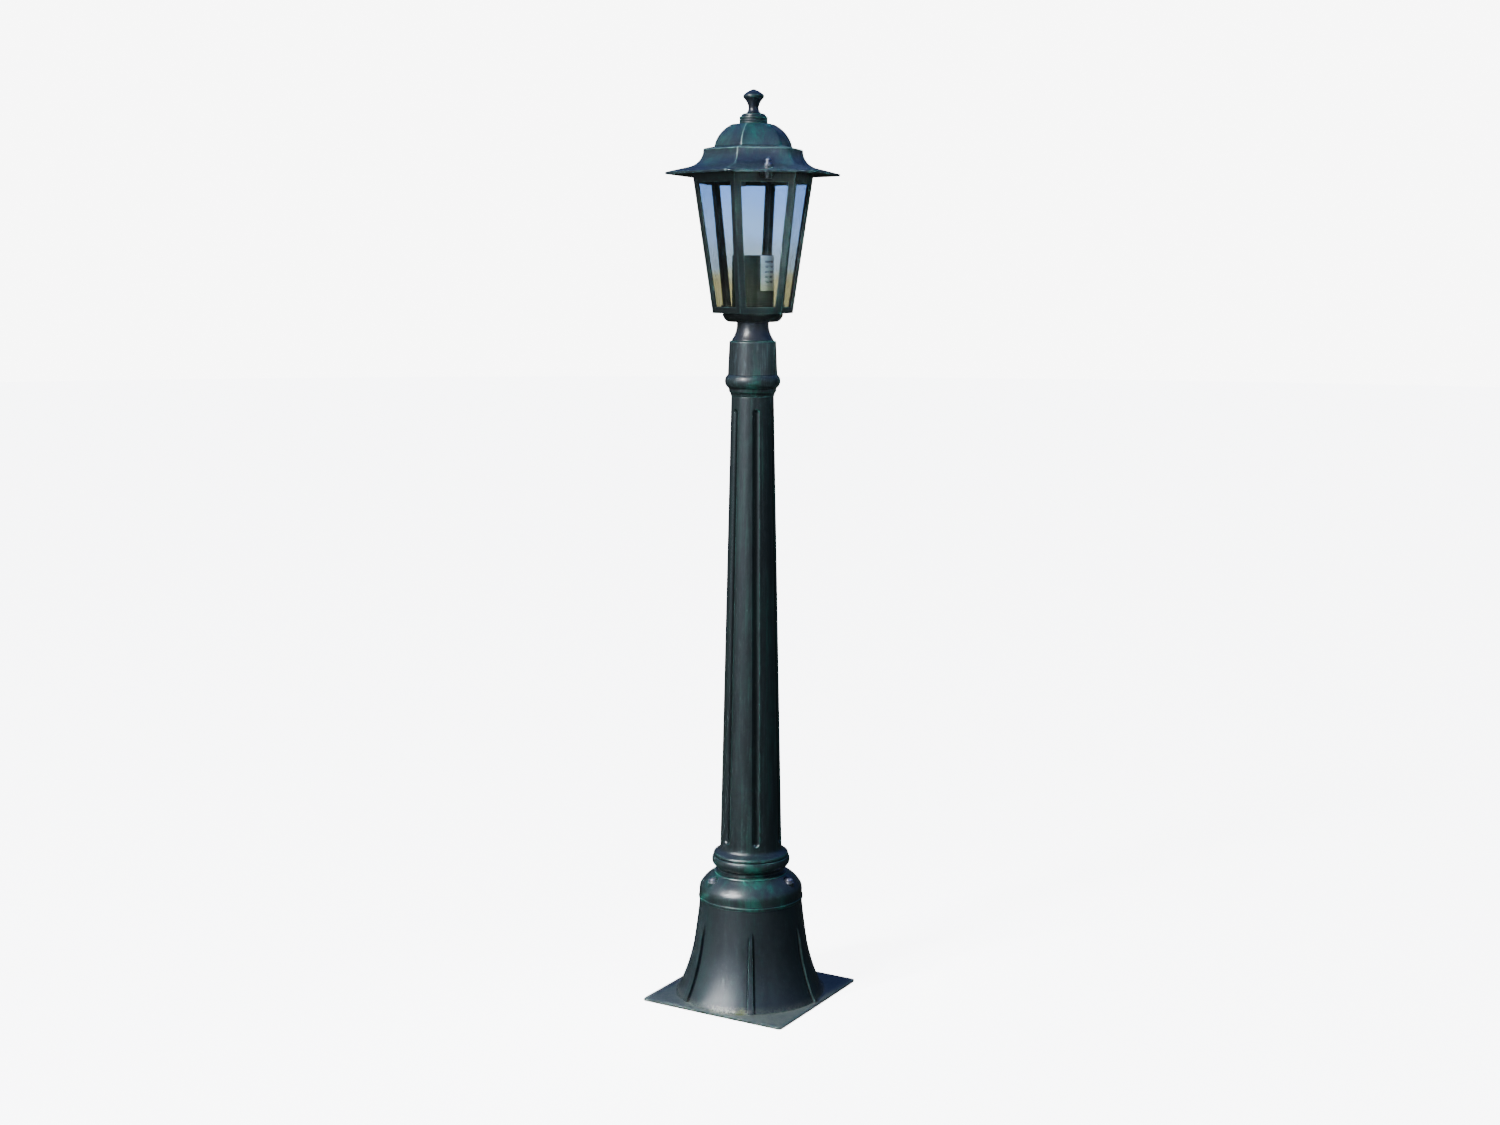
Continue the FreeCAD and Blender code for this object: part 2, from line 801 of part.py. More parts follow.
def make_panes():
    """Six flat panes, each leaning against the inside of its window."""
    foot, top = D.window_foot - D.glass_lap, D.window_top + D.glass_lap
    foot_half = cage_flat(foot) * TAN_30 - D.bar_width + D.glass_lap
    top_half = cage_flat(top) * TAN_30 - D.bar_width + D.glass_lap
    lean = FreeCAD.Rotation(FreeCAD.Vector(0, 1, 0), cage_tilt())
    stretch = 1 / math.cos(math.radians(cage_tilt()))
    for number in range(SIDES):
        label = f"glass_pane_{number + 1}"
        body = new_body(label)
        sketch = add_sketch(body, f"{label}_outline", "YZ_Plane")
        height = (top - foot) * stretch
        draw(sketch, [(-foot_half, 0), (foot_half, 0), (top_half, height), (-top_half, height)])
        pad(body, f"{label}_pad", sketch, D.glass_thick)
        # The pane's outer face lies on the cage wall's inner face, with a hair's gap.
        inset = (D.glass_thick.number + 0.05) * stretch
        flat = cage_flat(foot).number - D.cage_wall.number - inset
        seat = FreeCAD.Placement(FreeCAD.Vector(flat, 0, foot.number), lean)
        keep(body, label, LANTERN_TURN + 60 * number, seat)


def make_pane_clips():
    """Spring clips: one folded over the top rail and one on the floor, for each pane."""
    body = new_body("pane_clips")
    inner = D.cage_wall + D.glass_thick + 0.35
    strip = 0.8
    floor = D.cage_foot + D.cage_floor
    low = add_sketch(body, "low_clip_outline", "XZ_Plane")
    upstand = size(811)
    draw(
        low,
        [
            (cage_flat(floor) - inner - 9, floor),
            (cage_flat(floor) - inner, floor),
            (cage_flat(upstand) - inner, upstand),
            (cage_flat(upstand) - inner - strip, upstand),
            (cage_flat(floor) - inner - strip, floor + strip),
            (cage_flat(floor) - inner - 9, floor + strip),
        ],
    )
    low_clip = pad(body, "low_clip", low, 6, both_ways=True)
    high = add_sketch(body, "high_clip_outline", "XZ_Plane")
    rail, tongue = D.cage_top, size(945)
    draw(
        high,
        [
            (cage_flat(tongue) - inner - strip, tongue),
            (cage_flat(tongue) - inner, tongue),
            (cage_flat(952) - inner, 952),
            (cage_flat(954) - D.cage_wall, 954),
            (cage_flat(rail) - D.cage_wall, rail),
            (cage_flat(rail) - 0.3, rail),
            (cage_flat(rail) - 0.3, rail + strip),
            (cage_flat(rail) - D.cage_wall - strip, rail + strip),
            (cage_flat(954) - D.cage_wall - strip, 954),
            (cage_flat(952) - inner - strip, 952),
        ],
    )
    high_clip = pad(body, "high_clip", high, 6, both_ways=True)
    doc.recompute()
    ring_of(body, "clips", [low_clip, high_clip], SIDES)
    keep(body, "pane_clips", LANTERN_TURN)


def make_roof_studs():
    """Two threaded studs screwed up through the cage's lugs."""
    fastener_ring(
        "roof_studs",
        D.stud_ring,
        [
            (0, 948.6),
            (3.6, 948.6),
            (3.9, 949.2),
            (3.9, D.lug_top - D.lug_thick),
            (D.stud_rad, D.lug_top - D.lug_thick),
            (D.stud_rad, 966),
            (D.stud_rad - 0.5, 966.6),
            (0, 966.6),
        ],
        2,
        LANTERN_TURN,
    )


def hex_nut(label, across_flats, bore, low, high):
    body = new_body(label)
    sketch = hexagon(body, f"{label}_outline", across_flats / 2, low)
    draw_circle(sketch, 0, 0, bore)
    pad(body, f"{label}_pad", sketch, size(high) - low)
    keep(body, label)


def make_nipple():
    """The threaded tube that ties stem, dish, cage and lampholder together, with its two nuts."""
    turned(
        "stem_nipple",
        [
            (D.nipple_bore_rad, 766),
            (D.nipple_rad, 766),
            (D.nipple_rad, D.holder_foot),
            (D.nipple_bore_rad, D.holder_foot),
        ],
    )
    bracket_top = D.cage_foot + D.cage_floor + 1.4
    hex_nut("nipple_nut_top", 17.0, D.nipple_rad, bracket_top, bracket_top + 3.6)
    hex_nut("nipple_nut_bottom", 17.0, D.nipple_rad, 770.4, 776)
    turned(
        "lampholder_bracket",
        [
            (D.nipple_rad, D.cage_foot + D.cage_floor),
            (D.sleeve_rad, D.cage_foot + D.cage_floor),
            (D.sleeve_rad, bracket_top),
            (D.nipple_rad, bracket_top),
        ],
    )


def make_lampholder():
    """The screw lampholder: insulating body, screw shell, sprung contact, cover sleeve and label."""
    foot, top = D.holder_foot, D.holder_top
    outer, socket = D.holder_rad, D.socket_rad
    shell = 0.5
    tip_rim, tip_rise = 3.4, 0.4
    turned(
        "lampholder_body",
        [
            (D.nipple_bore_rad, foot),
            (outer - 2, foot),
            (outer, foot + 2, 2),
            (outer, top - 1.5),
            (outer - 1.5, top, 1.5),
            (socket + shell + 0.1, top),
            (socket + shell + 0.1, D.shell_foot - 2),
            (D.nipple_bore_rad + 1.6, D.shell_foot - 2),
            (D.nipple_bore_rad + 1.6, foot + 8),
            (D.nipple_bore_rad, foot + 8),
        ],
    )
    turned(
        "screw_shell",
        [
            (9, D.shell_foot - 2),
            (socket + shell, D.shell_foot - 2),
            (socket + shell, top - 2),
            (socket, top - 2),
            (socket, D.shell_foot - 2 + shell),
            (9, D.shell_foot - 2 + shell),
        ],
    )
    turned(
        "centre_contact",
        [
            (0, foot + 10.5),
            (5.0, foot + 10.5),
            (5.0, D.shell_foot - 4.4),
            (tip_rim, D.shell_foot - 2.4, 2.6),
            (0, D.shell_foot - 2.4 + tip_rise, cap_radius(tip_rim, tip_rise)),
        ],
    )
    sleeve_foot = D.cage_foot + D.cage_floor + 1.4
    inside = D.sleeve_rad - D.sleeve_wall
    turned(
        "lampholder_sleeve",
        [
            (inside, sleeve_foot),
            (D.sleeve_rad, sleeve_foot),
            (D.sleeve_rad, D.sleeve_top),
            (D.holder_rad - 3, D.sleeve_top),
            (D.holder_rad - 3, D.sleeve_top - D.sleeve_wall),
            (inside, D.sleeve_top - D.sleeve_wall),
        ],
    )
    label = new_body("rating_label")
    sketch = add_sketch(label, "label_outline", "XZ_Plane")
    low, high, paper = D.label_foot, D.label_top, 0.25
    inner = D.sleeve_rad + 0.02
    draw(sketch, [(inner, low), (inner + paper, low), (inner + paper, high), (inner, high)])
    strip = turn_about(label, "label_strip", sketch)
    strip.Midplane = True
    strip.setExpression("Angle", (D.label_wide / D.sleeve_rad * (180 / math.pi)).text)
    keep(label, "rating_label", LABEL_TURN)


# ---------------------------------------------------------------- roof body


def roof_half(offset):
    """Half outline of the roof, moved inward by offset, from the axis at the top to the eave."""
    skirt_bend, skirt_foot_flat, skirt_foot = 19, 63.9, 964.1
    ledge = 984.4
    # Unit normal of the skirt's straight slope, which falls towards the eave.
    normal_out, normal_up = 0.28, 0.96
    slope_flat = size(skirt_foot_flat) - size(offset) * normal_out
    slope_level = size(skirt_foot) - size(offset) * normal_up
    edge_drop = (D.eave_flat - slope_flat) * (normal_out / normal_up)
    return [
        (0, D.dome_top - offset),
        (D.dome_top_flat - size(offset) * 0.6, D.dome_top - offset),
        (D.dome_foot_flat - offset, D.dome_foot - size(offset) * 0.8, size(offset) - 35),
        (D.ledge_flat - 0.6 - offset, size(ledge) - size(offset) * 0.8),
        (D.ledge_flat - offset, size(ledge) - 1 - size(offset) * 0.8),
        (D.ledge_flat - offset, size(982) - size(offset) * 0.4),
        (slope_flat, slope_level, size(offset) + skirt_bend),
        (D.eave_flat, slope_level - edge_drop),
    ]


def make_roof():
    """The cast roof: a hexagonal dome on a flared skirt, hollow, with a boss round each stud."""
    outer = hexagonal("roof_outer", roof_half(0) + [(D.eave_flat, D.eave), (0, D.eave)])
    inner_half = roof_half(D.roof_wall)
    low = D.eave - 20
    inner = hexagonal("roof_inner", inner_half + [(D.eave_flat, low), (0, low)])
    boss_foot = D.lug_top + D.body_gap
    bosses, clears = [], []
    for number in range(2):
        turn = 180 * number
        bosses.append(cylinder(f"roof_boss_{number}", 6.0, boss_foot, D.nut_seat, D.stud_ring, turn))
        hole_foot, hole_top = boss_foot - 5, D.nut_seat + 9
        clears.append(cylinder(f"roof_hole_{number}", 3.2, hole_foot, hole_top, D.stud_ring, turn))
        clears.append(cylinder(f"roof_spot_{number}", 6.2, D.nut_seat, D.nut_seat + 6, D.stud_ring, turn))
    clears.append(cylinder("finial_hole", 2.7, D.dome_top - 4, D.dome_top + 1))
    shell = fuse("roof_with_bosses", [cut("roof_hollow", outer, inner), *bosses])
    keep(cut("roof_shell", shell, fuse("roof_clears", clears)), "roof_shell", LANTERN_TURN)


def make_finial():
    """The turned finial on the roof's top, pulled down by a screw from inside the dome."""
    seat = D.dome_top
    tip_rim, tip_rise = 3.0, 0.9
    turned(
        "finial",
        [
            (2.5, seat),
            (15.2, seat),
            (16.0, 1012.6, 1.4),
            (16.0, 1016.4),
            (13.4, 1020.6, 4.7),
            (11.0, 1021),
            (10.6, 1022.4, 1.2),
            (7.6, 1023.6),
            (5.9, 1029.4, -9),
            (11.1, 1040.1, -18),
            (10.6, 1044.5, 3),
            (tip_rim, D.total_height - tip_rise, 24),
            (0, D.total_height, cap_radius(tip_rim, tip_rise)),
            (0, 1027),
            (2.5, 1025.5),
        ],
    )
    inside = D.dome_top - D.roof_wall
    turned(
        "finial_washer",
        [(2.7, inside - 1.2), (8, inside - 1.2), (8, inside), (2.7, inside)],
    )
    screw_seat = inside - 1.2
    turned(
        "finial_screw",
        [
            (0, screw_seat - 2),
            (1.4, screw_seat - 2),
            (1.4, screw_seat - 3.6),
            (3.2, screw_seat - 3.6),
            (4.7, screw_seat - 1.6, 3.4),
            (4.7, screw_seat),
            (2.5, screw_seat),
            (2.5, 1024.5),
            (0, 1024.5),
        ],
    )


def make_cap_nuts():
    """Domed cap nuts with a flange, one on each roof stud."""
    seat = D.nut_seat
    ball_rim, ball_rise = 3.6, 2.6
    for number in range(2):
        label = f"cap_nut_{number + 1}"
        body = new_body(label)
        turned_off_axis(
            body,
            f"{label}_turn",
            D.stud_ring,
            [
                (D.stud_rad + 0.06, seat + 0.05),
                (5.4, seat + 0.05),
                (5.4, seat + 1.3),
                (4.0, seat + 1.9),
                (4.0, seat + 4.4),
                (3.3, seat + 5.0),
                (ball_rim, seat + 7.0, 3.6),
                (0, seat + 7.0 + ball_rise, cap_radius(ball_rim, ball_rise)),
                (0, seat + 6.6),
                (D.stud_rad + 0.06, seat + 6.2),
            ],
        )
        doc.recompute()
        # Flats on the waist show how the nut is turned.
        flats = add_sketch(body, f"{label}_flats", "XY_Plane", seat + 4.5)
        for side in (-1, 1):
            draw(
                flats,
                [
                    (D.stud_ring - 6, side * 3.5),
                    (D.stud_ring + 6, side * 3.5),
                    (D.stud_ring + 6, side * 6),
                    (D.stud_ring - 6, side * 6),
                ],
            )
        pocket(body, f"{label}_flat_cut", flats, 2.9)
        keep(body, label, LANTERN_TURN + 180 * number)


def check_document():
    """Stop if any object failed or any sub-part is empty or broken."""
    doc.recompute()
    for item in doc.Objects:
        if "Invalid" in item.State or "Error" in item.State:
            raise RuntimeError(f"{item.Name} failed: {item.State}")
    for item in parts:
        if item.Shape.isNull() or not item.Shape.isValid() or item.Shape.Volume <= 0:
            raise RuntimeError(f"{item.Label} has no valid shape")


for make in (
    make_base_bell,
    make_post_shaft,
    make_base_fasteners,
    make_terminals,
    make_collar,
    make_stem,
    make_dish,
    make_cage,
    make_panes,
    make_pane_clips,
    make_roof_studs,
    make_nipple,
    make_lampholder,
    make_roof,
    make_finial,
    make_cap_nuts,
):
    make()

check_document()
os.makedirs("parts", exist_ok=True)
for item in parts:
    item.Shape.exportStep(f"parts/{item.Label}.step")
    box = item.Shape.BoundBox
    print(f"{item.Label:20s} solids {len(item.Shape.Solids):2d} volume {item.Shape.Volume:10.1f}"
          f"  z {box.ZMin:8.2f} {box.ZMax:8.2f}")
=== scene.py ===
import math

import bmesh
import bpy
import numpy as np
from mathutils import Matrix, Vector


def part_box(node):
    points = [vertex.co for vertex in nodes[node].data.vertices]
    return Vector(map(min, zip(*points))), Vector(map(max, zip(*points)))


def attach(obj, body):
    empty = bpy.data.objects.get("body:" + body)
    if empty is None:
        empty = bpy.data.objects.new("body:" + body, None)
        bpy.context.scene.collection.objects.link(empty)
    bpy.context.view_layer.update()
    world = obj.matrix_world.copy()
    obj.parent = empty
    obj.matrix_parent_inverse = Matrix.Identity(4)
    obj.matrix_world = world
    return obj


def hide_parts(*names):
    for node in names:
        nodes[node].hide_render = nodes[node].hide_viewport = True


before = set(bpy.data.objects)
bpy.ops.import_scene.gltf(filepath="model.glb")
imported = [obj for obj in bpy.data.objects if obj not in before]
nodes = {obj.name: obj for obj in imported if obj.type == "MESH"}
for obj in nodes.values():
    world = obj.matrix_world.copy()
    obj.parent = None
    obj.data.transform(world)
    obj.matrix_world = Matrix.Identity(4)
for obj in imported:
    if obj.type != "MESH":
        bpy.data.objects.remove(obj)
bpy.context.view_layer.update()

# Shapes are in millimetres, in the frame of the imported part, and become metres in new_piece(). The
# stage, the lights and the camera are in metres.
MM = 0.001
SIDES = 6
# Directions in degrees of the first cap nut, the first flute and the first rib.
LANTERN_TURN, FLUTE_TURN, RIB_TURN = -47.6, -51.0, 0.0

scene = bpy.context.scene


def box_mm(node):
    """A CAD node's lowest and highest corner, in millimetres."""
    low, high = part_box(node)
    return [value / MM for value in low], [value / MM for value in high]


# ------------------------------------------------------------------ outlines


def arc_points(start, end, bend, step):
    """Points after start, up to end, on the minor arc. A positive bend turns left."""
    chord = end - start
    reach = math.sqrt(max(bend * bend - chord.length_squared / 4, 0.0))
    left = Vector((-chord.y, chord.x)).normalized()
    centre = (start + end) / 2 + left * math.copysign(reach, bend)
    first = math.atan2(start.y - centre.y, start.x - centre.x)
    last = math.atan2(end.y - centre.y, end.x - centre.x)
    turn = (last - first + math.pi) % (2 * math.pi) - math.pi
    count = max(4, math.ceil(abs(turn * bend) / step))
    angles = [first + turn * (i + 1) / count for i in range(count)]
    return [centre + abs(bend) * Vector((math.cos(a), math.sin(a))) for a in angles]


def turn_at(before, here, after):
    """The angle in radians that a path turns to the left at here."""
    first, second = here - before, after - here
    if first.length < 1e-6 or second.length < 1e-6:
        return 0.0
    return first.angle_signed(second) * -1


def outline(corners, soft=0.5, step=3.0, closed=True):
    """Samples (radius, height, relief) of a section: corners are (r, z) or (r, z, bend) after an arc.

    Corners are rounded by soft. Relief is above 0 on convex edges and below 0 in hollows.
    """
    points = []
    for corner in corners:
        end = Vector(corner[:2])
        if len(corner) == 3:
            points += arc_points(points[-1], end, corner[2], min(step, max(0.5, abs(corner[2]) / 5)))
        else:
            points.append(end)
    count = len(points)
    rounded = []
    for i, here in enumerate(points):
        before, after = points[i - 1], points[(i + 1) % count]
        inner = closed or 0 < i < count - 1
        if inner and abs(turn_at(before, here, after)) > 0.3:
            back, ahead = before - here, after - here
            back = here + back.normalized() * min(soft, back.length * 0.45)
            ahead = here + ahead.normalized() * min(soft, ahead.length * 0.45)
            for t in (0.0, 0.25, 0.5, 0.75, 1.0):
                rounded.append(back * (1 - t) ** 2 + here * 2 * t * (1 - t) + ahead * t * t)
        else:
            rounded.append(here)
    filled = []
    last = len(rounded) if closed else len(rounded) - 1
    for i in range(last):
        here, after = rounded[i], rounded[(i + 1) % len(rounded)]
        pieces = max(1, math.ceil((after - here).length / step))
        filled += [here.lerp(after, k / pieces) for k in range(pieces)]
    if not closed:
        filled.append(rounded[-1])
    rows = []
    for i, here in enumerate(filled):
        before, after = filled[i - 1], filled[(i + 1) % len(filled)]
        if not closed and i in (0, len(filled) - 1):
            rows.append((here.x, here.y, 0.0))
            continue
        span = ((here - before).length + (after - here).length) / 2 + 0.15
        rows.append((here.x, here.y, math.tanh(1.1 * turn_at(before, here, after) / span)))
    return rows


# ------------------------------------------------------------------ meshes


def new_piece(name, points, faces, relief, material, body, slot, replaced=()):
    """A mesh piece from millimetre points, riding on a body and standing for CAD nodes."""
    mesh = bpy.data.meshes.new(name)
    mesh.from_pydata([tuple(c * MM for c in p) for p in points], [], faces)
    mesh.validate()
    attribute = mesh.attributes.new("relief", "FLOAT", "POINT")
    attribute.data.foreach_set("value", np.asarray(relief, np.float32))
    mesh.polygons.foreach_set("use_smooth", [True] * len(mesh.polygons))
    piece = bpy.data.objects.new(name, mesh)
    scene.collection.objects.link(piece)
    recalculate(mesh)
    mesh.materials.append(material)
    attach(piece, body)
    if replaced:
        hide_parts(*replaced)
    return piece


def recalculate(mesh):
    """Turns all faces outward."""
    bm = bmesh.new()
    bm.from_mesh(mesh)
    bmesh.ops.recalc_face_normals(bm, faces=bm.faces)
    bm.to_mesh(mesh)
    bm.free()


def weave(rings, closed):
    """Points, faces and relief of rings of (x, y, z, relief), one after another; a ring of one is a pole."""
    points, relief, faces, starts = [], [], [], []
    for ring in rings:
        starts.append(len(points))
        points += [tuple(p[:3]) for p in ring]
        relief += [p[3] for p in ring]
    pairs = range(len(rings)) if closed else range(len(rings) - 1)
    for i in pairs:
        j = (i + 1) % len(rings)
        low, high = starts[i], starts[j]
        n_low, n_high = len(rings[i]), len(rings[j])
        count = max(n_low, n_high)
        for k in range(count):
            m = (k + 1) % count
            if n_low == 1:
                faces.append((low, high + m, high + k))
            elif n_high == 1:
                faces.append((low + k, low + m, high))
            else:
                faces.append((low + k, low + m, high + m, high + k))
    return points, faces, relief


def lathe_rings(rows, turns, shape=None):
    """Rings round the axis. turns are angles in degrees; shape may move a ring's radius and relief."""
    rings = []
    for r, z, relief in rows:
        if r < 1e-6:
            rings.append([(0.0, 0.0, z, relief)])
            continue
        angles = np.radians(turns(z) if callable(turns) else turns)
        radius, wear = np.full(len(angles), r), np.full(len(angles), relief)
        if shape:
            radius, wear = shape(angles, radius, z, wear)
        rings.append(list(zip(radius * np.cos(angles), radius * np.sin(angles), [z] * len(angles), wear)))
    return rings


def even_turns(count):
    return np.arange(count) * (360.0 / count)


def lathe(name, corners, material, body, slot, replaced, count=160, soft=0.5, step=3.0, closed=True):
    """A turned piece. An outline that isn't closed starts and ends on the axis."""
    rings = lathe_rings(outline(corners, soft, step, closed), even_turns(count))
    new_piece(name, *weave(rings, closed), material, body, slot, replaced)


def smooth_step(low, high, value):
    """0 at low and 1 at high, with a smooth rise between them."""
    t = np.clip((value - low) / (high - low), 0.0, 1.0)
    return t * t * (3 - 2 * t)


def off_centre(angles, start, spacing):
    """The signed angle in radians to the nearest of the directions start + k * spacing degrees."""
    gap = math.radians(spacing)
    return (angles - math.radians(start) + gap / 2) % gap - gap / 2


# ------------------------------------------------------------------ materials


class Tree:
    """A node tree, with short calls for the nodes that the finishes and the world share."""

    def __init__(self, owner):
        owner.use_nodes = True
        self.tree = owner.node_tree

    def node(self, kind, **settings):
        made = self.tree.nodes.new(kind)
        for key, value in settings.items():
            setattr(made, key, value)
        return made

    def link(self, source, target):
        self.tree.links.new(source, target)

    def feed(self, socket, value):
        if isinstance(value, bpy.types.NodeSocket):
            self.link(value, socket)
        elif value is not None:
            socket.default_value = value

    def math(self, operation, a, b=None, c=None, clamp=False):
        made = self.node("ShaderNodeMath", operation=operation, use_clamp=clamp)
        for socket, value in zip(made.inputs, (a, b, c)):
            self.feed(socket, value)
        return made.outputs[0]

    def ramp(self, value, low, high, to_low=0.0, to_high=1.0, smooth=True):
        made = self.node("ShaderNodeMapRange", interpolation_type="SMOOTHSTEP" if smooth else "LINEAR")
        for socket, number in zip(made.inputs, (value, low, high, to_low, to_high)):
            self.feed(socket, number)
        return made.outputs[0]

    def mix(self, factor, a, b):
        made = self.node("ShaderNodeMix", data_type="RGBA")
        self.feed(made.inputs[0], factor)
        self.feed(made.inputs[6], a)
        self.feed(made.inputs[7], b)
        return made.outputs[2]


class Graph(Tree):
    """A material's node tree, on the object's own coordinates."""

    def __init__(self, name):
        self.material = bpy.data.materials.new(name)
        super().__init__(self.material)
        self.shader = self.tree.nodes["Principled BSDF"]
        self.place = self.node("ShaderNodeTexCoord").outputs["Object"]

    def noise(self, scale, detail=4.0, roughness=0.55, stretch=(1, 1, 1), distortion=0.0, shift=0.0):
        moved = self.node("ShaderNodeMapping")
        moved.inputs["Scale"].default_value = stretch
        moved.inputs["Location"].default_value = (shift, shift * 0.7, shift * 1.3)
        self.link(self.place, moved.inputs["Vector"])
        made = self.node("ShaderNodeTexNoise")
        self.link(moved.outputs[0], made.inputs["Vector"])
        for key, value in (("Scale", scale), ("Detail", detail), ("Roughness", roughness),
                           ("Distortion", distortion)):
            made.inputs[key].default_value = value
        return made.outputs["Fac"]

    def attribute(self, name):
        return self.node("ShaderNodeAttribute", attribute_name=name).outputs["Fac"]

    def axis(self, index):
        split = self.node("ShaderNodeSeparateXYZ")
        self.link(self.place, split.inputs[0])
        return split.outputs[index]

    def up(self):
        split = self.node("ShaderNodeSeparateXYZ")
        self.link(self.node("ShaderNodeNewGeometry").outputs["Normal"], split.inputs[0])
        return split.outputs[2]

    def bump(self, *layers):
        """Bumps laid one on another, each (height, strength, distance in mm)."""
        normal = None
        for height, strength, distance in layers:
            made = self.node("ShaderNodeBump")
            made.inputs["Strength"].default_value = strength
            made.inputs["Distance"].default_value = distance * MM
            self.link(height, made.inputs["Height"])
            if normal:
                self.link(normal, made.inputs["Normal"])
            normal = made.outputs[0]
        self.link(normal, self.shader.inputs["Normal"])

    def finish(self, **values):
        for key, value in values.items():
            self.feed(self.shader.inputs[key.replace("_", " ")], value)
        return self.material


BLACK_GREEN = (0.010, 0.0145, 0.0155, 1)
VERDIGRIS = (0.011, 0.098, 0.072, 1)
WORN_AND_HIGHLIT_EDGE = (0.11, 0.19, 0.185, 1)
HOLLOW_SHADE = (0.003, 0.0042, 0.0045, 1)
DUST = (0.082, 0.104, 0.092, 1)
BRUSH_MARK = (0.034, 0.050, 0.055, 1)


def antique_paint(name, base=BLACK_GREEN, patina=VERDIGRIS, brushed=0.5, patches=0.35, edges=0.6,
                  dust=0.0, bright=0.6, streak=26.0, shift=0.0, grime=None, patch_top=None, lines=0.3,
                  combed=0.0, grain=0.55, coat=0.26):
    """Near-black cast paint with green wiped over it: upright brush streaks, patches and worn edges, with
    hollows darkened and dulled as painted shade.

    Relief above 1 marks an edge painted bright all along, a painted highlight line. Patches fade out above
    patch_top.
    combed raises the finest brush strokes, grain the casting's own pimples; coat is the lacquer's
    roughness.
    """
    g = Graph(name)
    relief = g.attribute("relief")
    convex = g.math("MAXIMUM", relief, 0.0)
    shaded_hollow = g.math("MAXIMUM", g.math("MULTIPLY", relief, -1.0), 0.0)
    streaks = g.noise(streak * 9, 5.0, 0.65, (1, 1, 0.045), 0.3, shift)
    strokes = g.noise(streak * 26, 4.0, 0.7, (1, 1, 0.03), 0.2, shift + 8)
    broad = g.noise(streak, 4.0, 0.6, (1, 1, 0.3), 0.6, shift + 3)
    blotches = g.noise(streak * 2.6, 6.0, 0.7, (1, 1, 0.8), 0.9, shift + 6)
    fine = g.noise(1100, 3.0, 0.7, shift=shift + 5)
    wiped = g.math("MULTIPLY", g.ramp(streaks, 0.50, 0.72), g.ramp(broad, 0.3, 0.65, 0.2, 1.0))
    green = g.math("MULTIPLY", wiped, brushed)
    patched = g.math("MULTIPLY", g.ramp(broad, 0.42, 0.70), g.ramp(blotches, 0.38, 0.62, 0.15, 1.0))
    if patch_top:
        patched = g.math("MULTIPLY", patched, g.ramp(g.axis(2), patch_top, patch_top + 0.012, 1.0, 0.12))
    green = g.math("ADD", green, g.math("MULTIPLY", patched, patches), clamp=True)
    uneven = g.ramp(blotches, 0.34, 0.60, 0.12, 1.0)
    rubbed = g.math("MULTIPLY", g.ramp(convex, 0.04, 0.6), uneven)
    green = g.math("ADD", green, g.math("MULTIPLY", rubbed, edges), clamp=True)
    colour = g.mix(g.math("MULTIPLY", g.ramp(strokes, 0.52, 0.70), lines), base, BRUSH_MARK)
    colour = g.mix(green, colour, patina)
    # Worn edges brighten unevenly; relief above 1 adds a painted highlight line all along the edge.
    worn_and_highlit_edge = g.math("MULTIPLY", g.ramp(convex, 0.5, 0.95), g.ramp(blotches, 0.44, 0.58))
    worn_and_highlit_edge = g.math("MAXIMUM", g.math("MULTIPLY", worn_and_highlit_edge, bright), g.ramp(convex, 1.0, 1.35, 0.0, 0.9))
    colour = g.mix(worn_and_highlit_edge, colour, WORN_AND_HIGHLIT_EDGE)
    # Painted shade: hollows and creases turn near-black.
    colour = g.mix(g.ramp(shaded_hollow, 0.05, 0.5, 0.0, 0.9), colour, HOLLOW_SHADE)
    rough = g.ramp(streaks, 0.3, 0.75, 0.30, 0.44)
    rough = g.math("ADD", rough, g.math("MULTIPLY", green, 0.12))
    if dust:
        settled = g.ramp(g.noise(55, 5.0, 0.7, shift=shift + 9), 0.35, 0.75, 0.5, 1.0)
        lies = g.math("MAXIMUM", g.ramp(g.up(), 0.80, 0.98), g.ramp(g.axis(2), 0.0034, 0.0044, 0.8, 0.0))
        settled = g.math("MULTIPLY", g.math("MULTIPLY", lies, settled), dust)
        if grime:
            settled = g.math("MULTIPLY", settled, front_share(g))
        colour = g.mix(settled, colour, DUST)
        rough = g.math("ADD", rough, g.math("MULTIPLY", settled, 0.35))
    if grime:
        colour = grime(g, colour)
    layers = [(g.noise(420, 4.0, 0.6, shift=shift + 2), 0.35, 0.35), (fine, grain, 0.2),
              (g.noise(60, 3.0, 0.5, shift=shift + 7), 0.5, 0.5)]
    if combed:
        layers.append((strokes, combed, 0.3))
    g.bump(*layers)
    # The hollows' lower specular and coat are painted shade as well.
    return g.finish(Base_Color=colour, Roughness=rough, Coat_Roughness=coat,
                    Specular_IOR_Level=g.ramp(shaded_hollow, 0.05, 0.45, 0.6, 0.2),
                    Coat_Weight=g.ramp(shaded_hollow, 0.05, 0.3, 0.3, 0.0))


def front_share(g):
    """More dust on the side towards +X and -Y, which faces the camera, than on the far side."""
    mottled = g.ramp(g.noise(30, 4.0, 0.6, shift=4), 0.3, 0.7, -0.02, 0.02)
    along = g.math("ADD", g.math("SUBTRACT", g.math("MULTIPLY", g.axis(0), 0.75), g.axis(1)), mottled)
    return g.ramp(along, -0.03, 0.05, 0.25, 1.0)


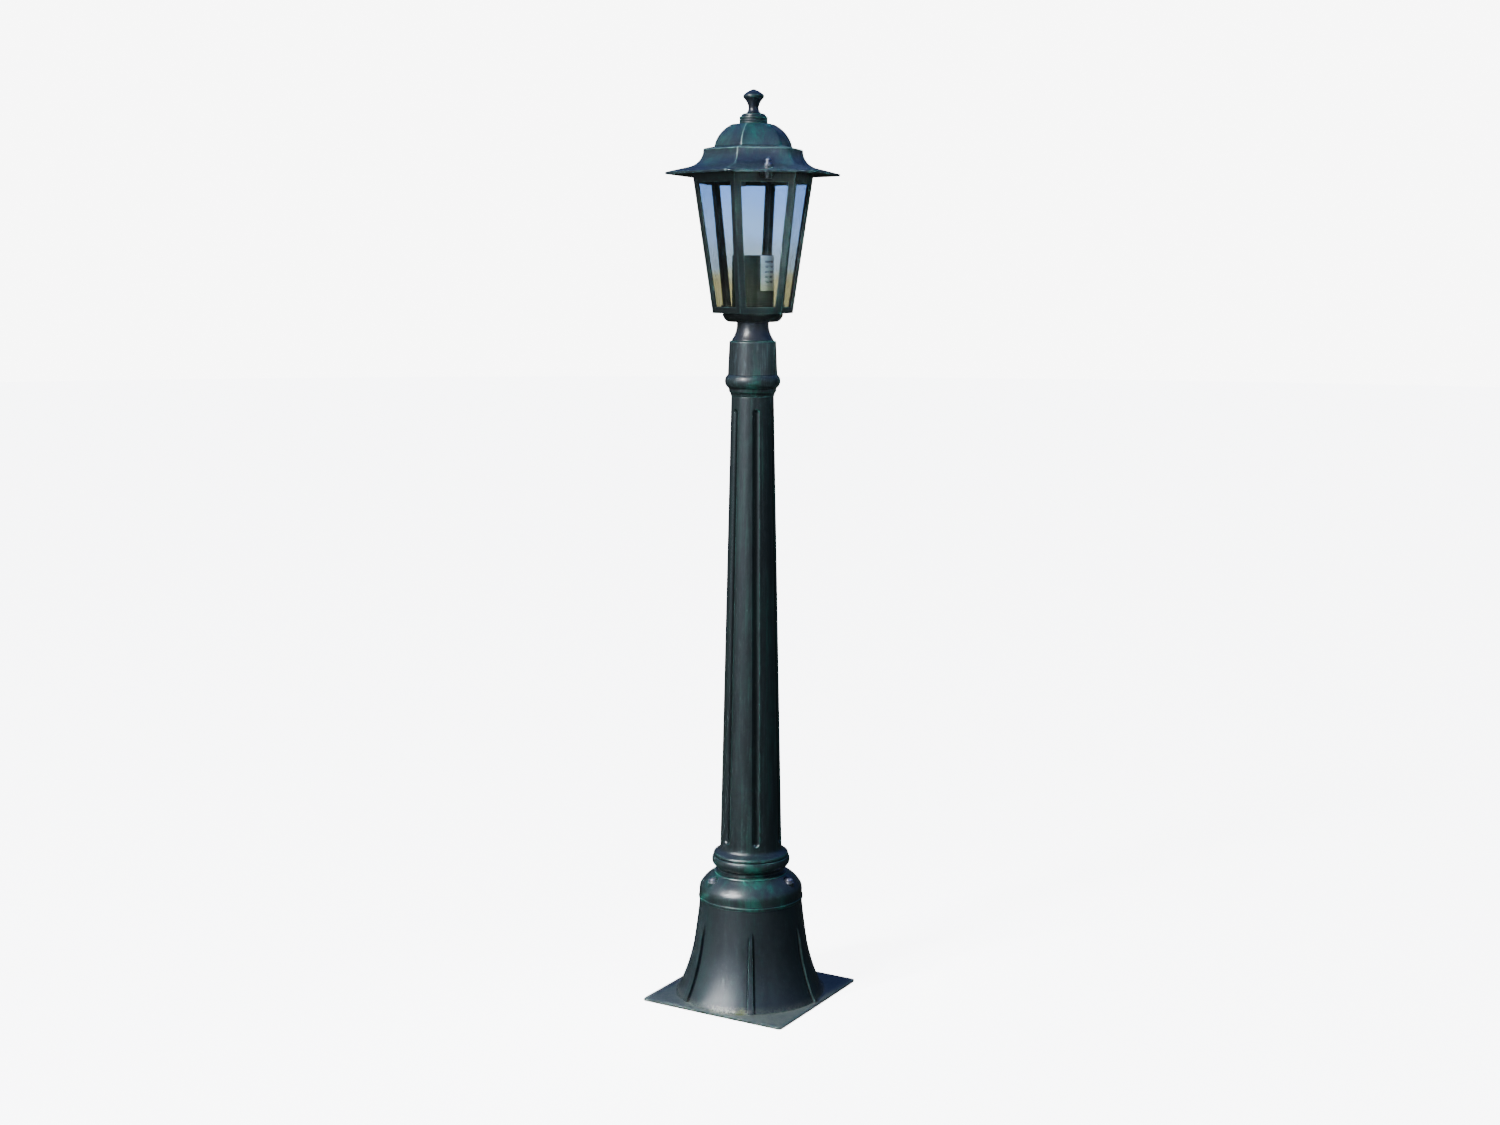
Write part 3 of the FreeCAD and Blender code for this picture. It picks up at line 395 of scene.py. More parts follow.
def foot_grime(g, colour):
    """Pale dirt and a little moss in the corner between the bell's foot and the plate."""
    x, y, z = g.axis(0), g.axis(1), g.axis(2)
    reach = g.math("SQRT", g.math("ADD", g.math("MULTIPLY", x, x), g.math("MULTIPLY", y, y)))
    near = g.ramp(g.math("ABSOLUTE", g.math("SUBTRACT", reach, 0.087)), 0.0005, 0.0065, 1.0, 0.0)
    near = g.math("MULTIPLY", near, g.ramp(z, 0.005, 0.013, 1.0, 0.0))
    around = g.math("ARCTAN2", y, x)
    crumbs = g.noise(420, 6.0, 0.75, shift=2)
    spread = {}
    for name, middle, half in (("dirt", -78.0, 22.0), ("moss", -68.0, 5.0)):
        aside = g.math("ABSOLUTE", g.math("SUBTRACT", around, math.radians(middle)))
        spread[name] = g.ramp(aside, math.radians(half * 0.3), math.radians(half), 1.0, 0.0)
    faint = g.math("MULTIPLY", g.math("MAXIMUM", spread["dirt"], 0.16), near)
    colour = g.mix(g.math("MULTIPLY", faint, g.ramp(crumbs, 0.40, 0.58)), colour, (0.23, 0.24, 0.19, 1))
    moss = g.math("MULTIPLY", g.math("MULTIPLY", spread["moss"], near), g.ramp(crumbs, 0.44, 0.54))
    return g.mix(moss, colour, (0.065, 0.088, 0.010, 1))


def plain_metal(name, colour, rough, grime, scale=220.0):
    """Bare metal with faint brushing and cloudy tarnish."""
    g = Graph(name)
    cloudy = g.noise(scale, 5.0, 0.6)
    brushed = g.noise(scale * 3, 3.0, 0.6, (1, 1, 0.15), shift=4)
    dirty = g.math("MULTIPLY", g.ramp(cloudy, 0.5, 0.75), grime)
    tint = g.mix(dirty, (*colour, 1), tuple(c * 0.25 for c in colour) + (1,))
    g.bump((brushed, 0.2, 0.05), (cloudy, 0.2, 0.1))
    uneven = g.ramp(cloudy, 0.3, 0.8, rough, rough + 0.25)
    return g.finish(Base_Color=tint, Metallic=1.0, Roughness=uneven)


def moulded(name, colour, rough, grime=0.2):
    """Moulded plastic or rubber: a fine grain and a little uneven dust."""
    g = Graph(name)
    cloudy = g.noise(60, 4.0, 0.6)
    fine = g.noise(700, 3.0, 0.6, shift=2)
    dusty = tuple(min(1.0, c * 1.2 + 0.03) for c in colour) + (1,)
    tint = g.mix(g.math("MULTIPLY", g.ramp(cloudy, 0.4, 0.75), grime), (*colour, 1), dusty)
    g.bump((fine, 0.25, 0.08), (cloudy, 0.2, 0.2))
    return g.finish(Base_Color=tint, Roughness=g.ramp(cloudy, 0.3, 0.8, rough, rough + 0.15))


def pane_glass():
    """Clear glass with painted sky and ground in its tint, bluish at the top and turning warm towards the
    sill, under a faint film of dust.

    Light passes straight through with a tint at each face, and is mirrored more at a slant.
    """
    g = Graph("pane_glass")
    low, high = box_mm("glass_pane_1")
    height = g.ramp(g.axis(2), low[2] * MM, high[2] * MM, smooth=False)
    waves = g.noise(14, 4.0, 0.55, (1, 1, 1.6))
    level = g.math("ADD", height, g.ramp(waves, 0.3, 0.7, -0.07, 0.07))
    # Painted sky and ground: the tint by height stands for blue sky above and warm ground below, seen
    # through the pane.
    tint = g.mix(g.ramp(level, 0.20, 0.34), (0.51, 0.505, 0.42, 1), (0.49, 0.535, 0.57, 1))
    tint = g.mix(g.ramp(level, 0.36, 0.62), tint, (0.49, 0.56, 0.65, 1))
    tint = g.mix(g.ramp(level, 0.62, 1.0), tint, (0.44, 0.535, 0.67, 1))
    film = g.noise(130, 6.0, 0.7, (1, 1, 0.5), 0.8, 3)
    through = g.node("ShaderNodeBsdfTransparent")
    g.feed(through.inputs["Color"], tint)
    dust = g.node("ShaderNodeBsdfDiffuse")
    dust.inputs["Color"].default_value = (0.30, 0.33, 0.30, 1)
    mirror = g.node("ShaderNodeBsdfGlossy")
    mirror.inputs["Roughness"].default_value = 0.03
    ripple = g.node("ShaderNodeBump")
    ripple.inputs["Strength"].default_value, ripple.inputs["Distance"].default_value = 0.1, 0.1 * MM
    g.feed(ripple.inputs["Height"], waves)
    g.feed(mirror.inputs["Normal"], ripple.outputs[0])
    slant = g.math("POWER", g.node("ShaderNodeLayerWeight").outputs["Facing"], 5.0)
    coated = g.node("ShaderNodeMixShader")
    cover = g.math("MULTIPLY", g.ramp(film, 0.35, 0.8), g.ramp(level, 0.1, 0.5, 0.05, 0.02))
    g.feed(coated.inputs[0], cover)
    g.link(through.outputs[0], coated.inputs[1])
    g.link(dust.outputs[0], coated.inputs[2])
    blend = g.node("ShaderNodeMixShader")
    g.feed(blend.inputs[0], g.math("MULTIPLY_ADD", slant, 0.9, 0.035))
    g.link(coated.outputs[0], blend.inputs[1])
    g.link(mirror.outputs[0], blend.inputs[2])
    g.link(blend.outputs[0], g.tree.nodes["Material Output"].inputs["Surface"])
    g.tree.nodes.remove(g.shader)
    return g.material


cast_paint = antique_paint("cast_paint", brushed=0.28, patches=1.0, edges=0.75, patch_top=0.165, lines=0.5)
collar_paint = antique_paint("collar_paint", brushed=0.38, patches=0.8, edges=0.7, shift=11.0,
                             patch_top=0.732, lines=1.6, combed=0.8)
stem_paint = antique_paint("stem_paint", base=(0.006, 0.007, 0.009, 1), brushed=0.05, patches=0.05,
                           edges=0.2, bright=0.2, shift=17.0, lines=0.15)
base_paint = antique_paint("base_paint", base=(0.010, 0.014, 0.016, 1), brushed=0.14, patches=0.08,
                           edges=0.45, dust=0.9, shift=23.0, grime=foot_grime, grain=0.5, coat=0.15)
roof_paint = antique_paint("roof_paint", base=(0.0075, 0.0105, 0.0175, 1), brushed=0.34, patches=0.45,
                           edges=0.5, dust=0.06, bright=0.7, shift=31.0, streak=20.0)
finial_paint = antique_paint("finial_paint", base=(0.007, 0.009, 0.014, 1), brushed=0.3, patches=0.4,
                             edges=0.6, shift=37.0)
cage_paint = antique_paint("cage_paint", base=(0.0035, 0.0055, 0.0055, 1), patina=(0.006, 0.04, 0.03, 1),
                           brushed=0.2, patches=0.2, edges=0.25, bright=0.15, shift=41.0, lines=0.1)
dish_paint = antique_paint("dish_paint", base=(0.003, 0.0035, 0.0035, 1), brushed=0.05, patches=0.03,
                           edges=0.08, bright=0.1, shift=47.0, lines=0.1)
bright_steel = plain_metal("bright_steel", (0.42, 0.44, 0.48), 0.22, 0.8, scale=420.0)
zinc_steel = plain_metal("zinc_steel", (0.5, 0.5, 0.48), 0.38, 0.5)
stained_steel = plain_metal("stained_steel", (0.66, 0.66, 0.68), 0.24, 0.8, scale=520.0)
dark_steel = plain_metal("dark_steel", (0.09, 0.095, 0.1), 0.4, 0.5)
spring_steel = plain_metal("spring_steel", (0.2, 0.21, 0.22), 0.35, 0.5)
brass = plain_metal("brass", (0.65, 0.45, 0.17), 0.28, 0.5)
sleeve_green = moulded("sleeve_green", (0.009, 0.021, 0.017), 0.42, 0.1)
black_plastic = moulded("black_plastic", (0.012, 0.012, 0.013), 0.35)
pale_plastic = moulded("pale_plastic", (0.62, 0.60, 0.54), 0.45)
rubber = moulded("rubber", (0.012, 0.012, 0.012), 0.75)
glass = pane_glass()


def blank_label():
    """A white film with a few grey bars where a label would have words."""
    g = Graph("blank_label")
    low, high = box_mm("rating_label")
    height = g.ramp(g.axis(2), low[2] * MM, high[2] * MM, smooth=False)
    rows = g.math("FRACT", g.math("MULTIPLY", height, 7.0))
    bars = g.math("MULTIPLY", g.math("GREATER_THAN", rows, 0.55), g.ramp(height, 0.12, 0.14))
    bars = g.math("MULTIPLY", bars, g.math("LESS_THAN", height, 0.86))
    around = g.math("ARCTAN2", g.axis(1), g.axis(0))
    middle = g.math("ABSOLUTE", g.math("ADD", around, math.radians(9.0)))
    bars = g.math("MULTIPLY", bars, g.math("LESS_THAN", middle, 0.30))
    patch = g.noise(160, 3.0, 0.6, (1, 1, 0.6))
    bars = g.math("MULTIPLY", bars, g.ramp(patch, 0.36, 0.46))
    yellowed = g.ramp(g.noise(90, 5.0, 0.6), 0.45, 0.8, 0.0, 0.35)
    paper = g.mix(yellowed, (0.84, 0.90, 0.94, 1), (0.60, 0.65, 0.66, 1))
    g.bump((patch, 0.1, 0.05))
    printed = g.mix(g.math("MULTIPLY", bars, 0.7), paper, (0.06, 0.07, 0.08, 1))
    return g.finish(Base_Color=printed, Roughness=0.4)


# ------------------------------------------------------------------ the base

PLATE_HALF, PLATE_THICK, PLATE_SHARPNESS = 92.5, 3.5, 70.0
FOOT_RIM, BELL_MIDDLE, BELL_TOP, BELL_WALL = 86.5, 67.3, 60.7, 4.0
RIB_TOP, RIB_RISE, RIB_TOP_WIDTH, RIB_FOOT_WIDTH = 94.0, 3.0, 3.0, 7.4
ANCHOR_RING, ANCHOR_HOLE = 36.0, 4.5


def square_reach(angles, half):
    """Distance from the axis to a square's side in each direction, its corners slightly rounded."""
    across = np.abs(np.cos(angles)) ** PLATE_SHARPNESS + np.abs(np.sin(angles)) ** PLATE_SHARPNESS
    return half / across ** (1 / PLATE_SHARPNESS)


def rib_half_width(z):
    down = min(max((RIB_TOP - z) / RIB_TOP, 0.0), 1.0)
    return (RIB_TOP_WIDTH + (RIB_FOOT_WIDTH - RIB_TOP_WIDTH) * down) / 2


def rib_turns(z):
    """Column directions with crisp steps at the ribs' sides and one column on each plate corner."""
    half, reach = rib_half_width(z), bell_skin(z)
    steps = [half * 0.45, half - 0.9, half - 0.15, half + 0.5, half + 1.4]
    near = [math.degrees(step / reach) for step in steps]
    side = near + list(np.linspace(near[-1], 15, 12)[1:]) + list(np.linspace(15, 30, 13)[1:])
    turns = [-a for a in side[::-1] if a < 30] + [0.0] + side
    return np.array([RIB_TURN + 60 * k + a for k in range(SIDES) for a in turns])


def bell_shape(angles, radius, z, relief):
    """Outside the foot the rings widen to the square plate; above it six tapered ribs stand out, with a
    painted highlight along their edges and painted shadow beside them, darker on one side.
    """
    r = radius[0]
    if r > FOOT_RIM:
        share = (r - FOOT_RIM) / (PLATE_HALF - FOOT_RIM)
        spread = FOOT_RIM + (square_reach(angles, PLATE_HALF) - FOOT_RIM) * share
        return spread, relief
    outside = smooth_step(0.0, 1.0, r - bell_skin(z) + 2.5) * smooth_step(2.9, 4.2, z)
    rise = RIB_RISE * smooth_step(RIB_TOP + 2, RIB_TOP - 22, z) * outside
    half = rib_half_width(z)
    along = off_centre(angles, RIB_TURN, 60) * bell_skin(z)
    aside = np.abs(along)
    bump = smooth_step(half + 0.5, half - 0.15, aside)
    # Painted highlight along each rib's edges; painted shadow in a band beside them, much darker on the side
    # where shade falls.
    lip_highlight = np.exp(-(((aside - half + 0.15) / 0.5) ** 2))
    groove_shadow = np.exp(-(((aside - half - 0.7) / 0.7) ** 2))
    shaded_side = np.where(along > 0, 2.6, 0.8)
    strength = min(1.0, rise / 1.6)
    return radius + rise * bump, relief + strength * (1.1 * lip_highlight - shaded_side * groove_shadow)


def bell_skin(z):
    """The bell's outer radius at a level, near enough to tell outside from inside and to place ribs."""
    radii = (FOOT_RIM, FOOT_RIM, 76.0, BELL_MIDDLE, BELL_TOP, BELL_TOP - 0.5)
    return float(np.interp(z, (0, PLATE_THICK, 30, 62, 112, 118), radii))


def make_base():
    """Square plate and bell as one casting, with the anchor holes through the plate."""
    corners = [
        (24, 0),
        (PLATE_HALF, 0),
        (PLATE_HALF, PLATE_THICK),
        (FOOT_RIM, PLATE_THICK + 0.1),
        (FOOT_RIM, 4.4),
        (BELL_MIDDLE, 62.0, -230),
        (BELL_TOP, 112, -900),
        (BELL_TOP - 0.5, 117.3),
        (43.5, 117.3),
        (43.5, 112.3),
        (BELL_TOP - BELL_WALL, 112.3),
        (BELL_MIDDLE - BELL_WALL, 62.0, 900),
        (FOOT_RIM - BELL_WALL, PLATE_THICK, 270),
        (24, PLATE_THICK),
    ]
    rings = lathe_rings(refine_plate(outline(corners, 0.6, 2.5)), rib_turns, bell_shape)
    piece = new_piece("bell_casting", *weave(rings, True), base_paint, "post", "base_paint", ("base_bell",))
    holes = [(ANCHOR_RING, 45 + 90 * k, ANCHOR_HOLE, -2, 6) for k in range(4)]
    carve(piece, "DIFFERENCE", holes)


def refine_plate(rows):
    """Extra rings across the plate, where the circle opens out to the square."""
    extra = []
    for here, after in zip(rows, rows[1:] + rows[:1]):
        extra.append(here)
        if max(here[0], after[0]) > FOOT_RIM and abs(here[0] - after[0]) > 1.0:
            for k in range(1, 8):
                t = k / 8
                extra.append(tuple(a + (b - a) * t for a, b in zip(here[:2], after[:2])) + (0.0,))
    return extra


CREASE = math.radians(38)


def carve(piece, operation, cylinders):
    """Cut or add upright cylinders, then crease the sharp edges.

    Each cylinder is (ring radius, direction, radius, foot, top).
    """
    bm = bmesh.new()
    for ring, turn, radius, low, high in cylinders:
        angle = math.radians(turn)
        middle = Vector((ring * math.cos(angle), ring * math.sin(angle), (low + high) / 2))
        place = Matrix.Translation(middle * MM)
        bmesh.ops.create_cone(bm, cap_ends=True, segments=48, radius1=radius * MM, radius2=radius * MM,
                              depth=(high - low) * MM, matrix=place)
    mesh = bpy.data.meshes.new("carving")
    bm.to_mesh(mesh)
    bm.free()
    tool = bpy.data.objects.new("carving", mesh)
    scene.collection.objects.link(tool)
    change = piece.modifiers.new("carve", "BOOLEAN")
    change.operation, change.object, change.solver = operation, tool, "EXACT"
    apply_modifiers(piece)
    bpy.data.objects.remove(tool)
    bm = bmesh.new()
    bm.from_mesh(piece.data)
    for edge in bm.edges:
        if len(edge.link_faces) == 2 and edge.calc_face_angle(0) > CREASE:
            edge.smooth = False
    for face in bm.faces:
        face.smooth = True
    bm.to_mesh(piece.data)
    bm.free()


def apply_modifiers(piece):
    """Make the modified mesh the piece's own."""
    depsgraph = bpy.context.evaluated_depsgraph_get()
    mesh = bpy.data.meshes.new_from_object(piece.evaluated_get(depsgraph))
    piece.modifiers.clear()
    piece.data = mesh


# ------------------------------------------------------------------ the post

SHAFT_FOOT, SHAFT_TOP, SHAFT_FOOT_RADIUS, SHAFT_TOP_RADIUS = 180.0, 708.0, 36.2, 24.4
FLUTE_FOOT, FLUTE_TOP, FLUTE_DEPTH = 191.0, 690.0, 2.3
FLUTE_FOOT_HALF, FLUTE_TOP_HALF = 4.75, 4.15
SCREW_RING, SCREW_SEAT, PAD_RADIUS, SEAT_RADIUS = 51.0, 141.5, 6.2, 6.3


def shaft_radius(z):
    share = (z - SHAFT_FOOT) / (SHAFT_TOP - SHAFT_FOOT)
    return SHAFT_FOOT_RADIUS + (SHAFT_TOP_RADIUS - SHAFT_FOOT_RADIUS) * share


def flute_half_width(z):
    share = (min(max(z, FLUTE_FOOT), FLUTE_TOP) - FLUTE_FOOT) / (FLUTE_TOP - FLUTE_FOOT)
    return FLUTE_FOOT_HALF + (FLUTE_TOP_HALF - FLUTE_FOOT_HALF) * share


def flute_turns(z):
    """Column directions that follow the flutes' edges, so that each edge stays crisp."""
    level = min(max(z, FLUTE_FOOT), FLUTE_TOP)
    half = math.degrees(flute_half_width(level) / shaft_radius(level))
    inside = [half * u for u in np.linspace(-1, 1, 17)]
    nudge = math.degrees(0.6 / shaft_radius(level))
    outside = list(np.linspace(half + nudge, 60 - half - nudge, 13))
    return np.array([FLUTE_TURN + 60 * k + a for k in range(SIDES) for a in inside + outside])


def flute_shape(angles, radius, z, relief):
    """Six grooves with round ends, cut into the outside of the shaft, with a bright line along their edges,
    stronger on one side as a painted highlight, and painted shade on their floors.
    """
    r = radius[0]
    if not FLUTE_FOOT - 6 < z < FLUTE_TOP + 6 or r < shaft_radius(z) - 1.0:
        return radius, relief
    half = flute_half_width(z)
    beyond = max(FLUTE_FOOT - z, z - FLUTE_TOP, 0.0)
    aside = off_centre(angles, FLUTE_TURN, 60) * r
    spread = np.sqrt(aside**2 + beyond**2)
    bend = (half**2 + FLUTE_DEPTH**2) / (2 * FLUTE_DEPTH)
    depth = FLUTE_DEPTH - (bend - np.sqrt(np.maximum(bend**2 - np.minimum(spread, half) ** 2, 0)))
    # Bright line along each flute's edges: worn paint on both, made stronger on one side as a painted
    # highlight.
    edge = np.exp(-(((spread - half - 0.1) / 0.4) ** 2)) * np.where(aside > 0, 0.85, 0.35)
    # Painted shade: each flute's floor is darkened.
    floor = np.exp(-((spread / (half * 0.8)) ** 2))
    return radius - depth, relief + edge - 0.4 * floor


def make_post():
    """Fluted shaft with its bead and the domed foot flange, with a pad and a seat for each screw."""
    rise = outline(
        [
            (44, 117.3),
            (61.0, 117.3),
            (61.5, 118.2, 0.9),
            (61.5, 120.6),
            (60.7, 121.4),
            (60.7, 126.5),
            (59.9, 133, 16),
            (43.8, 148.5, 38),
            (42.8, 149.6, 1.4),
            (40.6, 149.8),
            (37.8, 151.4, -3.5),
            (37.6, 154.4),
            (39.6, 155.6, -2.4),
            (45.8, 162.4, 8.5),
            (44.8, 168.4, 12),
            (43.5, 169.2),
            (44, 170.4),
            (42.2, 173.6, 3),
            (37.6, 177),
            (SHAFT_FOOT_RADIUS, SHAFT_FOOT, -6),
            (SHAFT_TOP_RADIUS, SHAFT_TOP),
            (21, SHAFT_TOP),
            (21, 722),
            (18, 722),
            (18, 700),
            (31.8, 180),
            (31.8, 146),
            (44, 134),
        ],
        0.45,
        3.0,
    )
    rows = []
    for here, after in zip(rise, rise[1:] + rise[:1]):
        rows.append(here)
        for end in (FLUTE_FOOT, FLUTE_TOP):
            near = abs((here[1] + after[1]) / 2 - end) < 8 and here[0] > shaft_radius(here[1]) - 1
            if near and abs(here[1] - after[1]) > 1.0:
                rows += [tuple(a + (b - a) * k / 6 for a, b in zip(here, after)) for k in range(1, 6)]
    rings = lathe_rings(rows, flute_turns, flute_shape)
    piece = new_piece("post_casting", *weave(rings, True), cast_paint, "post", "cast_paint", ("post_shaft",))
    turns = (0, 120, 240)
    carve(piece, "UNION", [(SCREW_RING, turn, PAD_RADIUS, 126.0, SCREW_SEAT) for turn in turns])
    carve(piece, "DIFFERENCE", [(SCREW_RING, turn, SEAT_RADIUS, SCREW_SEAT, 152.0) for turn in turns])


def make_collar():
    """The sleeve on the post's top, with a bead at its foot."""
    corners = [
        (21.05, 708.0),
        (24.8, 708.0),
        (25.2, 709.6),
        (27.0, 713, -5),
        (27.4, 716.8),
        (28.4, 732.4, 9.8),
        (28.3, 734),
        (26.7, 768.9),
        (25.9, 770.5, 2.2),
        (20, 770.5),
        (20, 725),
        (15, 725),
        (15, 722),
        (21.05, 722),
    ]
    lathe("collar_casting", corners, collar_paint, "post", "collar_paint", ("post_collar",), soft=0.4,
          step=2.5)


# ------------------------------------------------------------------ the lantern


def make_stem_and_dish():
    stem = [
        (15.95, 726),
        (19.95, 726),
        (19.95, 770.8),
        (24, 770.8),
        (23.9, 771.8),
        (18.2, 788, -30),
        (18.2, 791.8),
        (5, 791.8),
        (5, 776),
        (15.95, 776),
    ]
    lathe("stem_casting", stem, stem_paint, "lantern", "stem_paint", ("lantern_stem",), soft=0.4, step=2.5)
    dish = [
        (5, 791.8),
        (27.2, 791.8),
        (33.6, 797.6, 9),
        (34.8, 800.6, 10),
        (24, 800.6),
        (22, 795.4),
        (5, 795.4),
    ]
    lathe("dish_casting", dish, dish_paint, "lantern", "dish_paint", ("lantern_dish",), soft=0.6, step=2.0)


STUD_RING = 75.0
CAGE_FOOT, CAGE_TOP = 801.6, 958.0
CAGE_FOOT_FLAT, CAGE_TOP_FLAT = 40.45, 60.65
WINDOW_FOOT, WINDOW_TOP = 808.8, 946.0
BAR_WIDTH, CAGE_WALL, CAGE_FLOOR, HUB_FLAT = 7.3, 2.2, 2.6, 5.0
CAGE_BEVEL, WEAR_BAND = 0.45, 0.9
TAN_30 = math.tan(math.radians(30))


def cage_flat(z):
    """Distance from the axis to the cage's sides, which lean outward."""
    return CAGE_FOOT_FLAT + (CAGE_TOP_FLAT - CAGE_FOOT_FLAT) * (z - CAGE_FOOT) / (CAGE_TOP - CAGE_FOOT)


def make_cage():
    """The cage as one skin: six sides with a window each, rims, and a floor with the nipple's hole."""
    bm = bmesh.new()
    keys = {}

    def spot(side, flat, across, z):
        """A shared vertex at a distance flat from the axis, across along the side, at height z."""
        turn = math.radians(60 * side)
        x = flat * math.cos(turn) - across * math.sin(turn)
        y = flat * math.sin(turn) + across * math.cos(turn)
        key = (round(x, 3), round(y, 3), round(z, 3))
        if key not in keys:
            keys[key] = bm.verts.new((x, y, z))
        return keys[key]

    floor = CAGE_FOOT + CAGE_FLOOR
    for side in range(SIDES):
        loops = []
        for inset, foot in ((0.0, CAGE_FOOT), (CAGE_WALL, floor)):
            edge = [(foot, -1), (foot, 1), (CAGE_TOP, 1), (CAGE_TOP, -1)]
            hole = [(WINDOW_FOOT, -1), (WINDOW_FOOT, 1), (WINDOW_TOP, 1), (WINDOW_TOP, -1)]
            outer, inner = [], []
            for z, way in edge:
                flat = cage_flat(z) - inset
                outer.append(spot(side, flat, way * flat * TAN_30, z))
            for z, way in hole:
                inner.append(spot(side, cage_flat(z) - inset, way * (cage_flat(z) * TAN_30 - BAR_WIDTH), z))
            for i in range(4):
                bm.faces.new((outer[i], outer[(i + 1) % 4], inner[(i + 1) % 4], inner[i]))
            loops.append((outer, inner))
        (outer, inner), (back_outer, back_inner) = loops
        for i in range(4):
            bm.faces.new((inner[i], inner[(i + 1) % 4], back_inner[(i + 1) % 4], back_inner[i]))
        bm.faces.new((outer[2], outer[3], back_outer[3], back_outer[2]))
        hub_half = HUB_FLAT * TAN_30
        for flat, z in ((CAGE_FOOT_FLAT, CAGE_FOOT), (cage_flat(floor) - CAGE_WALL, floor)):
            half = flat * TAN_30
            rim = [spot(side, flat, -half, z), spot(side, flat, half, z)]
            hub = [spot(side, HUB_FLAT, hub_half, z), spot(side, HUB_FLAT, -hub_half, z)]
            bm.faces.new((rim[0], rim[1], hub[0], hub[1]))
        around = ((-hub_half, CAGE_FOOT), (hub_half, CAGE_FOOT), (hub_half, floor), (-hub_half, floor))
        bm.faces.new([spot(side, HUB_FLAT, across, z) for across, z in around])
    add_lugs(bm)
    bmesh.ops.recalc_face_normals(bm, faces=bm.faces)
    finish_cage(bm)


def add_lugs(bm):
    """Two arms under the roof's cap nuts, round at the end."""
    low, high, half, root = 952.0, 956.0, 5.5, 58.6
    for turn in (0, 180):
        ring = [(root, -half), (STUD_RING, -half)]
        for angle in np.radians(range(20, 180, 20)):
            ring.append((STUD_RING + half * math.sin(angle), -half * math.cos(angle)))
        ring += [(STUD_RING, half), (root, half)]
        turned = [Matrix.Rotation(math.radians(turn), 2) @ Vector(p) for p in ring]
        under = [bm.verts.new((p.x, p.y, low)) for p in turned]
        over = [bm.verts.new((p.x, p.y, high)) for p in turned]
        bm.faces.new(under[::-1])
        bm.faces.new(over)
        for i in range(len(ring)):
            j = (i + 1) % len(ring)
            bm.faces.new((under[i], under[j], over[j], over[i]))


def finish_cage(bm):
    """Bevel the cage's edges, mark them as worn, and make it a piece."""
    sharp = [e for e in bm.edges if len(e.link_faces) == 2 and e.calc_face_angle(0) > 0.35]
    bevelled = bmesh.ops.bevel(bm, geom=sharp, offset=CAGE_BEVEL, segments=3, profile=0.5,
                               affect="EDGES", clamp_overlap=True)["faces"]
    on_edge = set(bevelled)
    flats = [f for f in bm.faces if f not in on_edge]
    bmesh.ops.inset_region(bm, faces=flats, thickness=WEAR_BAND, use_even_offset=True)
    inner = {v for f in flats if f.is_valid for v in f.verts}
    turned = Matrix.Rotation(math.radians(LANTERN_TURN), 3, "Z")
    bmesh.ops.rotate(bm, cent=(0, 0, 0), matrix=turned, verts=bm.verts)
    bm.verts.index_update()
    points = [tuple(v.co) for v in bm.verts]
    relief = [0.0 if v in inner else 0.8 for v in bm.verts]
    faces = [[v.index for v in f.verts] for f in bm.faces]
    bm.free()
    piece = new_piece("cage_casting", points, faces, relief, cage_paint, "lantern", "cage_paint",
                      ("lantern_cage",))
    weighted = piece.modifiers.new("shade", "WEIGHTED_NORMAL")
    weighted.keep_sharp = False


SLEEVE_WALL, SLEEVE_MOUTH = 1.4, 16


def make_sleeve():
    """The lampholder's cover, open at its foot, with a round mouth for the bulb."""
    low, high = box_mm("lampholder_sleeve")
    radius, foot, top = high[0], low[2], high[2]
    sleeve = [
        (radius - SLEEVE_WALL, foot),
        (radius, foot),
        (radius, top),
        (SLEEVE_MOUTH, top),
        (SLEEVE_MOUTH, top - SLEEVE_WALL),
        (radius - SLEEVE_WALL, top - SLEEVE_WALL),
    ]
    lathe("sleeve_cover", sleeve, sleeve_green, "lantern", "sleeve_green", ("lampholder_sleeve",), count=120)


# ------------------------------------------------------------------ the roof


def hex_turns():
    """Directions round a hexagon, closer together near its corners."""
    from_corner = (0.0, 0.3, 0.65, 1.1, 1.8, 3.0, 5.0, 8.0, 12.0, 17.0, 23.0, 30.0)
    side = [gap - 30 for gap in from_corner] + [30 - gap for gap in from_corner[-2:0:-1]]
    return np.array([LANTERN_TURN + 60 * k + a for k in range(SIDES) for a in side])


EAVE, EAVE_FLAT, ROOF_TOP, ROOF_WALL, ROOF_SHARPNESS = 955.3, 88.2, 1011.5, 2.0, 55.0
# How bright the ledge and each ridge of the roof are painted, the ridges by their place round the roof. The
# ledge's line is a painted highlight; the ridges are worn, and the brightest also carries a painted
# highlight.
LEDGE_HIGHLIGHT = 1.2
RIDGE_WEAR_AND_HIGHLIGHT = (0.3, 0.8, 0.5, 0.9, 0.5, 1.5)


def hex_shape(angles, radius, z, relief):
    """Turns a ring of flat distance into a hexagon with slightly rounded ridges, painted bright along them:
    worn paint, and a painted highlight on the brightest ridge.
    """
    total = sum(np.maximum(np.cos(angles - math.radians(LANTERN_TURN + 60 * k)), 1e-6) ** ROOF_SHARPNESS
                for k in range(SIDES))
    reach = radius[0] / total ** (1 / ROOF_SHARPNESS)
    gap = np.abs(off_centre(angles, LANTERN_TURN + 30, 60)) * reach
    side = np.round((np.degrees(angles) - LANTERN_TURN - 30) / 60).astype(int) % SIDES
    ridge = np.exp(-((gap / 0.55) ** 2))
    return reach, relief + np.array(RIDGE_WEAR_AND_HIGHLIGHT)[side] * ridge


